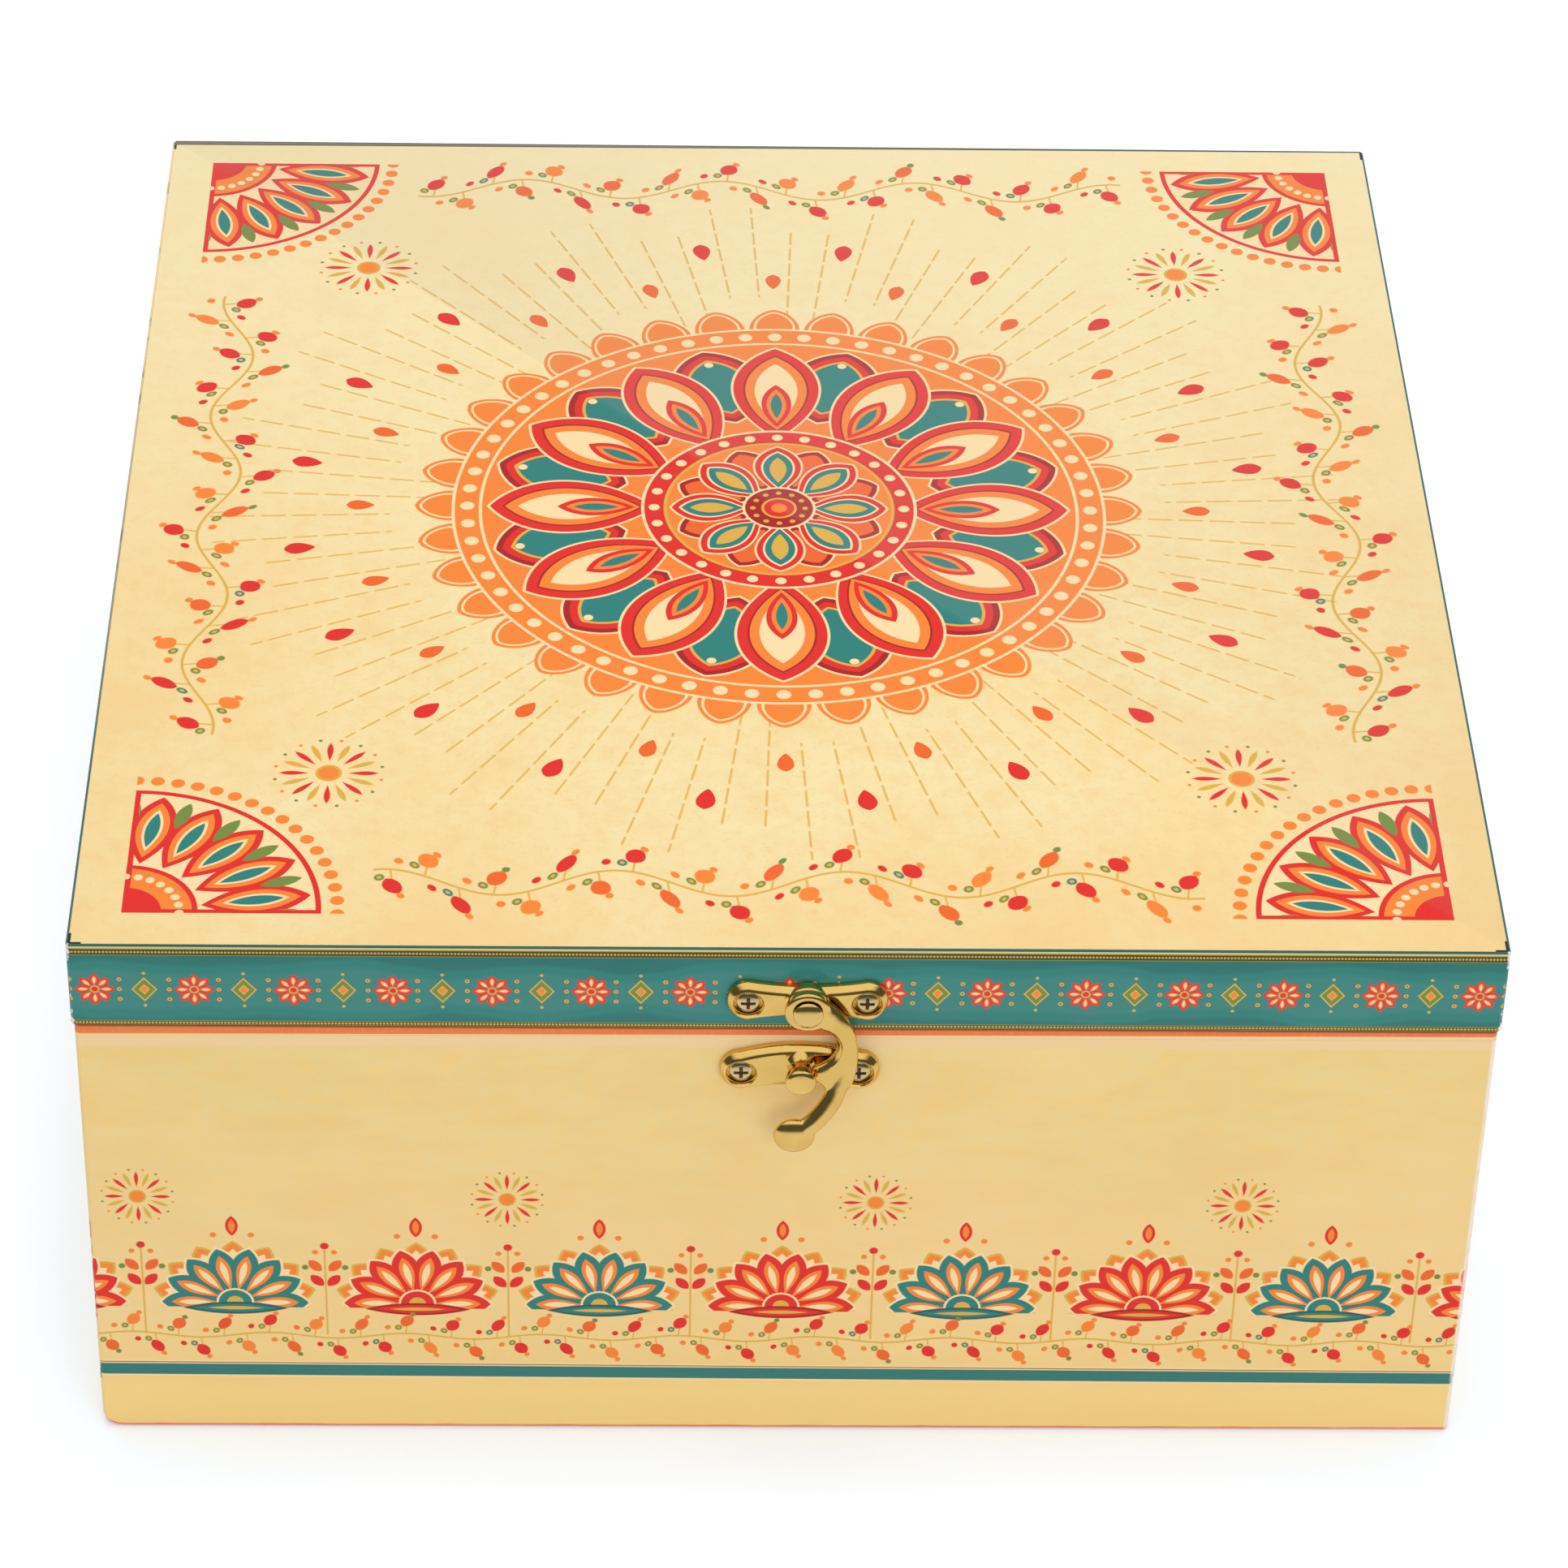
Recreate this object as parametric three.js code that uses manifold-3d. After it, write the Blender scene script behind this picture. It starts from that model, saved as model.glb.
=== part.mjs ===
// A hinged gift box of papered fibreboard, with a swing-hook latch, holding four glass jars.
// Millimetres, +Z up, front towards -Y, origin under the middle of the lid on the surface the box stands on.
import * as THREE from 'three';
import { mergeVertices } from 'three/addons/utils/BufferGeometryUtils.js';
import Module from 'manifold-3d';

const wasm = await Module();
wasm.setup();

// Overall sizes
const LID_WIDTH = 250;
const LID_DEPTH = 266;
const BOX_HEIGHT = 115;
const LID_HEIGHT = 18;
const PARTING_GAP = 0.3;
const BASE_INSET = 0.5;

// Board and paper
const BOARD = 5;
const PANEL = 3;
const PAPER = 0.3;
const RIM_TURN = 2;
const BAND_TURN_TOP = 1.2;

// Clearances
const FIT = 0.3;
const TOOL_OVERRUN = 1;

// Swing-hook latch
const LATCH_OFFSET = 3.2;
const KEEPER_OFFSET = 2.2;
const LATCH_ABOVE_PARTING = 7.2;
const KEEPER_BELOW_PARTING = 9;
const STUD_ABOVE_SCREWS = 2.3;
const PLATE_THICKNESS = 2.2;
const PLATE_BEVEL = 0.7;
const PLATE_SCREW_SPACING = 20.7;
const PLATE_LOBE_RADIUS = 3.7;
const PLATE_WAIST = 2.8;
const KEEPER_CROWN = 5.2;
const BOSS_RADIUS = 3.6;
const BOSS_HEIGHT = 0.3;
const RIVET_RADIUS = 1.5;
const RIVET_HEAD_RADIUS = 2.65;
const RIVET_HEAD_HEIGHT = 0.9;
const HUB_RADIUS = 4.1;
const HOOK_THICKNESS = 1.8;
const HOOK_BEVEL = 0.4;
const FINGER_TAB_RADIUS = 3.9;
const FINGER_TAB_THICKNESS = 3;
const STUD_ROOT_RADIUS = 2.9;
const STUD_NECK_RADIUS = 1.7;
const STUD_HEAD_RADIUS = 2.75;
const STUD_HEAD_THICKNESS = 1.6;

// Latch screws, whose heads sit in wells in the plates
const SCREW_SHANK_RADIUS = 0.9;
const SCREW_HEAD_RADIUS = 2.2;
const SCREW_HEAD_HEIGHT = 1;
const SCREW_WELL_DEPTH = 1.3;
const SCREW_DEPTH = 4.4;

// Butt hinges
const HINGE_SPACING = 150;
const LEAF_WIDTH = 25;
const LEAF_HEIGHT = 9;
const LEAF_THICKNESS = 0.8;
const KNUCKLE_RADIUS = 1.7;
const KNUCKLE_WALL_GAP = 0.15;
const PIN_RADIUS = 0.75;
const PIN_CLEARANCE = 0.25;
const PIN_HEAD_RADIUS = 1.3;
const HINGE_SCREW_SPACING = 15;
const HINGE_SCREW_SHANK_RADIUS = 0.7;
const HINGE_SCREW_HEAD_RADIUS = 1.6;
const HINGE_SCREW_HEAD_HEIGHT = 0.6;
const HINGE_SCREW_DEPTH = 4;

// Inner divider and jars
const DIVIDER = 3;
const DIVIDER_HEIGHT = 62;
const JAR_CLEARANCE = 3.7;
const JAR_HEADSPACE = 8;
const JAR_WALL = 2.3;
const JAR_FLOOR = 4.5;
const JAR_PUSH_UP = 1.5;
const JAR_HEEL = 4;
const JAR_SHOULDER = 9.5;
const JAR_FINISH_HEIGHT = 14;
const CAP_SKIRT_HEIGHT = 12.5;
const CAP_WALL = 0.6;
const CAP_CURL = 0.6;
const CAP_CLEARANCE = 1;
const LINER = 1;

// Sides of round pieces
const JAR_SIDES = 28;
const SMALL_SIDES = 16;
const SCREW_SIDES = 12;

// Heights, from the table up
const PARTING_Z = BOX_HEIGHT - LID_HEIGHT;
const RIM_Z = PARTING_Z - PARTING_GAP;
const WALL_TOP = RIM_Z - PAPER;
const RIM_TURN_Z = RIM_Z - RIM_TURN;
const PANEL_TOP = PAPER + PANEL;
const FLOOR_Z = PANEL_TOP + PAPER;
const RAIL_BOTTOM = PARTING_Z + PAPER;
const LID_PANEL_TOP = BOX_HEIGHT - PAPER;
const LID_PANEL_BOTTOM = LID_PANEL_TOP - PANEL;
const CEILING_Z = LID_PANEL_BOTTOM - PAPER;

// Spans in plan: the base is set in at the front and sides, and flush with the lid at the back
const inset = ([low, high], by) => [low + by, high - by];
const middle = ([low, high]) => (low + high) / 2;
const LID_X = [-LID_WIDTH / 2, LID_WIDTH / 2];
const LID_Y = [-LID_DEPTH / 2, LID_DEPTH / 2];
const BASE_X = inset(LID_X, BASE_INSET);
const BASE_Y = [LID_Y[0] + BASE_INSET, LID_Y[1]];
const WALL_X = inset(BASE_X, PAPER);
const WALL_Y = inset(BASE_Y, PAPER);
const ROOM_X = inset(WALL_X, BOARD);
const ROOM_Y = inset(WALL_Y, BOARD);
const HOLLOW_X = inset(ROOM_X, PAPER);
const HOLLOW_Y = inset(ROOM_Y, PAPER);
const RAIL_X = inset(LID_X, PAPER);
const RAIL_Y = inset(LID_Y, PAPER);
const LID_ROOM_X = inset(RAIL_X, BOARD);
const LID_ROOM_Y = inset(RAIL_Y, BOARD);
const BAND_TURN_UNDER = PAPER + BOARD - FIT;

// Finishes
const finish = (color, roughness, metalness = 0) =>
  new THREE.MeshStandardMaterial({ color, roughness, metalness });
const FIBREBOARD = finish(0xb18c60, 0.85);
const CREAM_PRINT = finish(0xefdcb4, 0.5);
const TEAL_PRINT = finish(0x117a7c, 0.35);
const ORANGE_PAPER = finish(0xe07a26, 0.6);
const GREYBOARD = finish(0xd9c8a6, 0.8);
const BRASS = finish(0xd8b257, 0.2, 1);
const PALE_BRASS = finish(0xd9cb9f, 0.25, 1);
const GLASS = finish(0xdcebe6, 0.05);
const GOLD_TIN = finish(0xcda44a, 0.3, 1);
const LINER_FOAM = finish(0xf2f0ea, 0.7);

// A box between exact corners, so that boards which meet share the same face.
function block(x, y, z) {
  const geometry = new THREE.BoxGeometry(1, 1, 1);
  const corner = geometry.attributes.position;
  const end = (value) => (value > 0 ? 1 : 0);
  for (let i = 0; i < corner.count; i++) {
    const place = [x[end(corner.getX(i))], y[end(corner.getY(i))], z[end(corner.getZ(i))]];
    corner.setXYZ(i, ...place);
  }
  return geometry;
}

// Turned pieces: a profile of [radius, length] about an axis that points up, forward, back or right.
const TURN_TO = {
  up: (geometry) => geometry.rotateX(Math.PI / 2),
  forward: (geometry) => geometry.rotateX(Math.PI),
  back: (geometry) => geometry,
  right: (geometry) => geometry.rotateZ(-Math.PI / 2),
};
function turned(profile, sides, way) {
  const points = profile.map(([radius, length]) => new THREE.Vector2(radius, length));
  return TURN_TO[way](new THREE.LatheGeometry(points, sides));
}
// Points over a low dome, from its rim to its crown
function dome(radius, foot, height) {
  return [0, 1, 2, 3].map((step) => {
    const angle = step * Math.PI / 6;
    return [radius * Math.cos(angle), foot + height * Math.sin(angle)];
  });
}
// How far a rounded corner's middle lies inside the square corner, as a share of its radius
const CORNER_SHARE = 1 - Math.SQRT1_2;
const rod = (radius, [start, stop], sides, way) =>
  turned([[0, start], [radius, start], [radius, stop], [0, stop]], sides, way);

// Joins and cuts between closed solids
const MERGE_DISTANCE = 1e-4;
function solid(geometry) {
  const bare = geometry.clone();
  bare.deleteAttribute('normal');
  bare.deleteAttribute('uv');
  const merged = mergeVertices(bare, MERGE_DISTANCE);
  const vertProperties = merged.attributes.position.array;
  const triVerts = new Uint32Array(merged.index.array);
  return new wasm.Manifold(new wasm.Mesh({ numProp: 3, vertProperties, triVerts }));
}
function geometryOf(body) {
  const mesh = body.getMesh();
  const geometry = new THREE.BufferGeometry();
  geometry.setAttribute('position', new THREE.BufferAttribute(mesh.vertProperties, 3));
  geometry.setIndex(new THREE.BufferAttribute(mesh.triVerts, 1));
  geometry.computeVertexNormals();
  return geometry;
}
const join = (first, ...rest) =>
  geometryOf(rest.reduce((body, other) => body.add(solid(other)), solid(first)));
const cut = (first, ...tools) =>
  geometryOf(tools.reduce((body, tool) => body.subtract(solid(tool)), solid(first)));

function add(group, name, geometry, material) {
  const mesh = new THREE.Mesh(geometry, material);
  mesh.name = name;
  group.add(mesh);
  return mesh;
}
function groupAt(parent, x, y, z) {
  const group = new THREE.Group();
  group.position.set(x, y, z);
  parent.add(group);
  return group;
}

// Places of the fasteners, which the boards and papers are drilled for
const LATCH_Z = PARTING_Z + LATCH_ABOVE_PARTING;
const KEEPER_Z = PARTING_Z - KEEPER_BELOW_PARTING;
const STUD_Z = KEEPER_Z + STUD_ABOVE_SCREWS;
const SIDES = [['left', -1], ['right', 1]];
const HINGE_Z = middle([RIM_Z, PARTING_Z]);
const HINGE_Y = LID_Y[1] + KNUCKLE_RADIUS + KNUCKLE_WALL_GAP;
const LEAF_START = KNUCKLE_RADIUS + FIT;
const LEAF_SCREW_DROP = LEAF_START + LEAF_HEIGHT / 2;

// A blind pilot hole from a face, for a screw that goes in along Y.
function pilot(radius, depth, way, x, y, z) {
  const hole = rod(radius + FIT, [-depth - FIT, TOOL_OVERRUN], SCREW_SIDES, way);
  return hole.translate(x, y, z);
}
const latchPilots = (offset, y, z) =>
  SIDES.map(([, sign]) => {
    const x = offset + sign * PLATE_SCREW_SPACING / 2;
    return pilot(SCREW_SHANK_RADIUS, SCREW_DEPTH, 'forward', x, y, z);
  });
const hingePilots = (z) =>
  SIDES.flatMap(([, side]) => SIDES.map(([, sign]) => {
    const x = side * HINGE_SPACING / 2 + sign * HINGE_SCREW_SPACING / 2;
    return pilot(HINGE_SCREW_SHANK_RADIUS, HINGE_SCREW_DEPTH, 'back', x, LID_Y[1], z);
  }));

// Base: butt-jointed walls, a bottom panel let in between them, printed sheets and a lining
function makeBase(base) {
  const front = [WALL_Y[0], ROOM_Y[0]];
  const back = [ROOM_Y[1], WALL_Y[1]];
  const left = [WALL_X[0], ROOM_X[0]];
  const right = [ROOM_X[1], WALL_X[1]];
  const wallZ = [PAPER, WALL_TOP];
  const keeperHoles = latchPilots(KEEPER_OFFSET, BASE_Y[0], KEEPER_Z);
  const hingeHoles = hingePilots(HINGE_Z - LEAF_SCREW_DROP);
  add(base, 'base_front_wall', cut(block(WALL_X, front, wallZ), ...keeperHoles), FIBREBOARD);
  add(base, 'base_back_wall', cut(block(WALL_X, back, wallZ), ...hingeHoles), FIBREBOARD);
  add(base, 'base_left_wall', block(left, ROOM_Y, wallZ), FIBREBOARD);
  add(base, 'base_right_wall', block(right, ROOM_Y, wallZ), FIBREBOARD);
  add(base, 'base_bottom_panel', block(ROOM_X, ROOM_Y, [PAPER, PANEL_TOP]), FIBREBOARD);
  add(base, 'base_bottom_paper', block(BASE_X, BASE_Y, [0, PAPER]), ORANGE_PAPER);

  const printZ = [PAPER, RIM_TURN_Z];
  const frontPrint = block(BASE_X, [BASE_Y[0], WALL_Y[0]], printZ);
  const backPrint = block(BASE_X, [WALL_Y[1], BASE_Y[1]], printZ);
  add(base, 'base_front_print', cut(frontPrint, ...keeperHoles), CREAM_PRINT);
  add(base, 'base_back_print', cut(backPrint, ...hingeHoles), CREAM_PRINT);
  add(base, 'base_left_print', block([BASE_X[0], WALL_X[0]], WALL_Y, printZ), CREAM_PRINT);
  add(base, 'base_right_print', block([WALL_X[1], BASE_X[1]], WALL_Y, printZ), CREAM_PRINT);

  // The lining covers floor and walls, then turns over the rim and a little way down outside.
  const lined = join(
    block(ROOM_X, ROOM_Y, [PANEL_TOP, RIM_Z]),
    block(BASE_X, BASE_Y, [RIM_TURN_Z, RIM_Z]),
  );
  const wallRing = cut(
    block(WALL_X, WALL_Y, [0, WALL_TOP]),
    block(ROOM_X, ROOM_Y, [-TOOL_OVERRUN, RIM_Z]),
  );
  const hollow = block(HOLLOW_X, HOLLOW_Y, [FLOOR_Z, BOX_HEIGHT]);
  add(base, 'base_lining', cut(lined, wallRing, hollow), ORANGE_PAPER);
}

// Lid: a panel on four rails, a printed band round the rails, a printed top sheet and a lining
function makeLid(lid) {
  const front = [RAIL_Y[0], LID_ROOM_Y[0]];
  const back = [LID_ROOM_Y[1], RAIL_Y[1]];
  const left = [RAIL_X[0], LID_ROOM_X[0]];
  const right = [LID_ROOM_X[1], RAIL_X[1]];
  const railZ = [RAIL_BOTTOM, LID_PANEL_BOTTOM];
  const latchHoles = latchPilots(LATCH_OFFSET, LID_Y[0], LATCH_Z);
  const hingeHoles = hingePilots(HINGE_Z + LEAF_SCREW_DROP);
  add(lid, 'lid_panel', block(RAIL_X, RAIL_Y, [LID_PANEL_BOTTOM, LID_PANEL_TOP]), FIBREBOARD);
  add(lid, 'lid_front_rail', cut(block(RAIL_X, front, railZ), ...latchHoles), FIBREBOARD);
  add(lid, 'lid_back_rail', cut(block(RAIL_X, back, railZ), ...hingeHoles), FIBREBOARD);
  add(lid, 'lid_left_rail', block(left, LID_ROOM_Y, railZ), FIBREBOARD);
  add(lid, 'lid_right_rail', block(right, LID_ROOM_Y, railZ), FIBREBOARD);

  // The band turns in over the top edge and under the rails; the top sheet fills what it leaves.
  const topX = inset(LID_X, BAND_TURN_TOP);
  const topY = inset(LID_Y, BAND_TURN_TOP);
  const band = cut(
    block(LID_X, LID_Y, [PARTING_Z, BOX_HEIGHT]),
    block(RAIL_X, RAIL_Y, [RAIL_BOTTOM, LID_PANEL_TOP]),
    block(topX, topY, [LID_PANEL_BOTTOM, BOX_HEIGHT + TOOL_OVERRUN]),
    block(
      inset(LID_X, BAND_TURN_UNDER),
      inset(LID_Y, BAND_TURN_UNDER),
      [PARTING_Z - TOOL_OVERRUN, LID_PANEL_BOTTOM],
    ),
    ...latchHoles,
    ...hingeHoles,
  );
  add(lid, 'lid_band_print', band, TEAL_PRINT);
  add(lid, 'lid_top_print', block(topX, topY, [LID_PANEL_TOP, BOX_HEIGHT]), CREAM_PRINT);
  const lining = cut(
    block(LID_ROOM_X, LID_ROOM_Y, railZ),
    block(inset(LID_ROOM_X, PAPER), inset(LID_ROOM_Y, PAPER), [PARTING_Z, CEILING_Z]),
  );
  add(lid, 'lid_lining', lining, ORANGE_PAPER);
}

// Plate outline: two round lobes about the screws, joined by shallow curves above and below
function plateOutline(topMiddle, bottomMiddle) {
  const half = PLATE_SCREW_SPACING / 2;
  const shape = new THREE.Shape();
  const controlHeight = (crest) => 2 * crest - Math.sign(crest) * PLATE_LOBE_RADIUS;
  shape.absarc(half, 0, PLATE_LOBE_RADIUS, -Math.PI / 2, Math.PI / 2);
  shape.quadraticCurveTo(0, controlHeight(topMiddle), -half, PLATE_LOBE_RADIUS);
  shape.absarc(-half, 0, PLATE_LOBE_RADIUS, Math.PI / 2, 3 * Math.PI / 2);
  shape.quadraticCurveTo(0, controlHeight(-bottomMiddle), half, -PLATE_LOBE_RADIUS);
  return shape;
}

// A cast plate with a soft front edge, its back flat on y = 0 and its front towards -Y
function castPlate(outline) {
  const plate = new THREE.ExtrudeGeometry(outline, {
    depth: PLATE_THICKNESS - PLATE_BEVEL,
    curveSegments: 10,
    bevelThickness: PLATE_BEVEL,
    bevelSize: PLATE_BEVEL,
    bevelOffset: -PLATE_BEVEL,
    bevelSegments: 3,
  });
  plate.rotateX(Math.PI / 2);
  const reach = PLATE_SCREW_SPACING;
  return cut(plate, block([-reach, reach], [0, PLATE_THICKNESS], [-reach, reach]));
}

// Wells and through holes for the two screws of a plate
const WELL_FLOOR = PLATE_THICKNESS - SCREW_WELL_DEPTH;
function screwSeats() {
  const well = SCREW_HEAD_RADIUS + FIT;
  const bore = SCREW_SHANK_RADIUS + FIT;
  const profile = [
    [0, -TOOL_OVERRUN],
    [bore, -TOOL_OVERRUN],
    [bore, WELL_FLOOR],
    [well, WELL_FLOOR],
    [well, PLATE_THICKNESS + TOOL_OVERRUN],
    [0, PLATE_THICKNESS + TOOL_OVERRUN],
  ];
  return SIDES.map(([, sign]) =>
    turned(profile, SMALL_SIDES, 'forward').translate(sign * PLATE_SCREW_SPACING / 2, 0, 0));
}

function latchScrew() {
  const rounding = SCREW_HEAD_HEIGHT / 2;
  const profile = [
    [0, -SCREW_DEPTH],
    [SCREW_SHANK_RADIUS, 2 * SCREW_SHANK_RADIUS - SCREW_DEPTH],
    [SCREW_SHANK_RADIUS, WELL_FLOOR],
    [SCREW_HEAD_RADIUS, WELL_FLOOR],
    ...dome(SCREW_HEAD_RADIUS, WELL_FLOOR + rounding, rounding),
  ];
  return turned(profile, SCREW_SIDES, 'forward');
}

// Standoffs of the latch from the lid's front face, outwards
const BOSS_FACE = PLATE_THICKNESS + BOSS_HEIGHT;
const HOOK_BACK = BOSS_FACE + FIT;
const HOOK_FRONT = HOOK_BACK + HOOK_THICKNESS;
const RIVET_HEAD_BACK = HOOK_FRONT + FIT;
const RIVET_BORE = RIVET_RADIUS + FIT;

function makeLatchPlate(latch) {
  const boss = turned([
    [0, 0],
    [BOSS_RADIUS + BOSS_HEIGHT, 0],
    [BOSS_RADIUS + BOSS_HEIGHT, PLATE_THICKNESS],
    [BOSS_RADIUS, BOSS_FACE],
    [0, BOSS_FACE],
  ], SMALL_SIDES, 'forward');
  const bore = rod(RIVET_BORE, [-TOOL_OVERRUN, BOSS_FACE + TOOL_OVERRUN], SMALL_SIDES, 'forward');
  const plate = join(castPlate(plateOutline(PLATE_WAIST, PLATE_WAIST)), boss);
  add(latch, 'latch_plate', cut(plate, bore, ...screwSeats()), BRASS);

  const rivet = turned([
    [0, FIT],
    [RIVET_RADIUS, FIT],
    [RIVET_RADIUS, RIVET_HEAD_BACK],
    ...dome(RIVET_HEAD_RADIUS, RIVET_HEAD_BACK, RIVET_HEAD_HEIGHT),
  ], SMALL_SIDES, 'forward');
  add(latch, 'latch_rivet', rivet, BRASS);
}

// Hook: a flat blade that hangs from the hub and bows round the stud, with a tooth towards the stud's
// neck, and a round-sectioned tail that leaves the blade's front and ends in a finger tab.
// Points are [right of, below] the rivet, or the stud, that they belong to.
const HOOK_REACH = LATCH_Z - STUD_Z;
const STUD_ACROSS = KEEPER_OFFSET - LATCH_OFFSET;
const TOOTH_TIP = STUD_NECK_RADIUS + FIT;
const byRivet = (points) => points.map(([across, drop]) => new THREE.Vector2(across, -drop));
const byStud = (points) =>
  points.map(([across, drop]) => new THREE.Vector2(STUD_ACROSS + across, -HOOK_REACH - drop));
const BLADE_OUTER = [
  ...byRivet([[2.6, -2.502], [6.1, 0.834], [8.2, 4.726]]),
  ...byStud([[9.9, -4.726], [9.4, 0.556], [7.9, 5.004], [6, 7.784]]),
];
const BLADE_TOOTH_UNDERSIDE = byStud([[3.7, 6.116], [4, 3.614], [TOOTH_TIP, 1.39]]);
const BLADE_THROAT = [
  ...byStud([[TOOTH_TIP, -0.973], [4.9, -2.78], [6.2, -5.282]]),
  ...byRivet([[4.9, 6.255], [3.4, 4.587], [0, 3.475]]),
];
const TAIL = byStud([[5.8, 1.668], [5, 5.282], [3, 8.618], [0.4, 11.12], [-1, 12.232]]);
const TAIL_HALF_WIDTHS = [1.2, 1.7, 1.8, 2.2, 2.4];
const TAIL_LIFTS = [0.4, 0.9, 1.5, 2, 2.2];
const TAIL_STEPS = 14;
const TAIL_SECTION_POINTS = 12;

function hookBlade() {
  const outline = new THREE.Shape();
  outline.moveTo(0, 0);
  outline.splineThru(BLADE_OUTER);
  const [underside, ...toTooth] = BLADE_TOOTH_UNDERSIDE;
  outline.lineTo(underside.x, underside.y);
  outline.splineThru(toTooth);
  const [tooth, ...throat] = BLADE_THROAT;
  outline.lineTo(tooth.x, tooth.y);
  outline.splineThru(throat);
  const blade = new THREE.ExtrudeGeometry(outline, {
    depth: HOOK_THICKNESS - 2 * HOOK_BEVEL,
    curveSegments: 4,
    bevelThickness: HOOK_BEVEL,
    bevelSize: HOOK_BEVEL,
    bevelOffset: -HOOK_BEVEL,
    bevelSegments: 2,
  });
  return blade.translate(0, 0, HOOK_BEVEL).rotateX(Math.PI / 2);
}

// An oval section swept along the tail, wide in the plane of the box front
function hookTail() {
  const middlePlane = -HOOK_THICKNESS / 2;
  const spine = new THREE.CatmullRomCurve3(TAIL.map(({ x, y }, i) =>
    new THREE.Vector3(x, middlePlane - TAIL_LIFTS[i], y)));
  const widths = new THREE.SplineCurve(TAIL_HALF_WIDTHS.map((half, i) => new THREE.Vector2(i, half)));
  const rings = [];
  for (let step = 0; step <= TAIL_STEPS; step++) {
    const along = step / TAIL_STEPS;
    const tangent = spine.getTangent(along);
    const side = new THREE.Vector3(-tangent.z, 0, tangent.x).normalize();
    rings.push(ovalRing(spine.getPoint(along), side, widths.getPoint(along).y));
  }
  return loft(rings);
}
function ovalRing(centre, side, half) {
  const ring = [];
  for (let i = 0; i < TAIL_SECTION_POINTS; i++) {
    const angle = 2 * Math.PI * i / TAIL_SECTION_POINTS;
    const point = centre.clone().addScaledVector(side, half * Math.cos(angle));
    point.y -= HOOK_THICKNESS / 2 * Math.sin(angle);
    ring.push(point);
  }
  return ring;
}

// A closed skin through rings of equal count, with a fan over each end
function loft(rings) {
  const count = rings[0].length;
  const points = rings.flat();
  const faces = [];
  for (let ring = 0; ring + 1 < rings.length; ring++) {
    for (let i = 0; i < count; i++) {
      const a = ring * count + i;
      const b = ring * count + (i + 1) % count;
      faces.push(a, b, a + count, b, b + count, a + count);
    }
  }
  const last = (rings.length - 1) * count;
  for (let i = 1; i + 1 < count; i++) {
    faces.push(0, i + 1, i);
    faces.push(last, last + i, last + i + 1);
  }
  const geometry = new THREE.BufferGeometry().setFromPoints(points);
  geometry.setIndex(faces);
  return geometry;
}

function makeHook(hook) {
  const hub = turned([
    [0, 0],
    [HUB_RADIUS - HOOK_BEVEL, 0],
    [HUB_RADIUS, HOOK_BEVEL],
    [HUB_RADIUS, HOOK_THICKNESS - HOOK_BEVEL],
    [HUB_RADIUS - HOOK_BEVEL, HOOK_THICKNESS],
    [0, HOOK_THICKNESS],
  ], 2 * SMALL_SIDES, 'forward');
  const end = TAIL.at(-1);
  const tab = new THREE.SphereGeometry(FINGER_TAB_RADIUS, 20, 12);
  tab.scale(1, FINGER_TAB_THICKNESS / 2 / FINGER_TAB_RADIUS, 1);
  tab.translate(end.x, -HOOK_THICKNESS / 2 - TAIL_LIFTS.at(-1), end.y);
  const bore = rod(RIVET_BORE, [-TOOL_OVERRUN, HOOK_THICKNESS + TOOL_OVERRUN], SMALL_SIDES, 'forward');
  add(hook, 'latch_hook', cut(join(hub, hookBlade(), hookTail(), tab), bore), BRASS);
}

// Keeper: a plate with a headed stud cast on it, which the hook passes behind
function makeKeeper(keeper) {
  const headBack = HOOK_FRONT + BASE_INSET + FIT;
  const headFront = headBack + STUD_HEAD_THICKNESS;
  const headEdge = STUD_HEAD_THICKNESS / 4;
  const stud = turned([
    [0, 0],
    [STUD_ROOT_RADIUS, 0],
    [STUD_ROOT_RADIUS, PLATE_THICKNESS],
    [STUD_NECK_RADIUS + FIT, HOOK_BACK],
    [STUD_NECK_RADIUS, HOOK_BACK + BASE_INSET],
    [STUD_NECK_RADIUS, headBack],
    [STUD_HEAD_RADIUS - headEdge, headBack],
    [STUD_HEAD_RADIUS, headBack + headEdge],
    [STUD_HEAD_RADIUS, headFront - headEdge],
    [STUD_HEAD_RADIUS - headEdge, headFront],
    [0, headFront],
  ], SMALL_SIDES, 'forward').translate(0, 0, STUD_ABOVE_SCREWS);
  const plate = join(castPlate(plateOutline(KEEPER_CROWN, PLATE_WAIST)), stud);
  add(keeper, 'latch_keeper', cut(plate, ...screwSeats()), BRASS);
}

function makeLatch(base, lid, hook) {
  const latch = groupAt(lid, LATCH_OFFSET, LID_Y[0], LATCH_Z);
  const keeper = groupAt(base, KEEPER_OFFSET, BASE_Y[0], KEEPER_Z);
  makeLatchPlate(latch);
  makeHook(groupAt(hook, LATCH_OFFSET, LID_Y[0] - HOOK_BACK, LATCH_Z));
  makeKeeper(keeper);
  for (const [side, sign] of SIDES) {
    const x = sign * PLATE_SCREW_SPACING / 2;
    add(groupAt(latch, x, 0, 0), `latch_plate_screw_${side}`, latchScrew(), PALE_BRASS);
    add(groupAt(keeper, x, 0, 0), `latch_keeper_screw_${side}`, latchScrew(), PALE_BRASS);
  }
}

// Butt hinge: knuckles in three lengths along the pin, the outer two on the base leaf
const KNUCKLE_LENGTH = LEAF_WIDTH / 3;
const KNUCKLE_SPANS = [-1, 0, 1].map((step) =>
  inset([(step - 0.5) * KNUCKLE_LENGTH, (step + 0.5) * KNUCKLE_LENGTH], FIT / 2));

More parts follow.
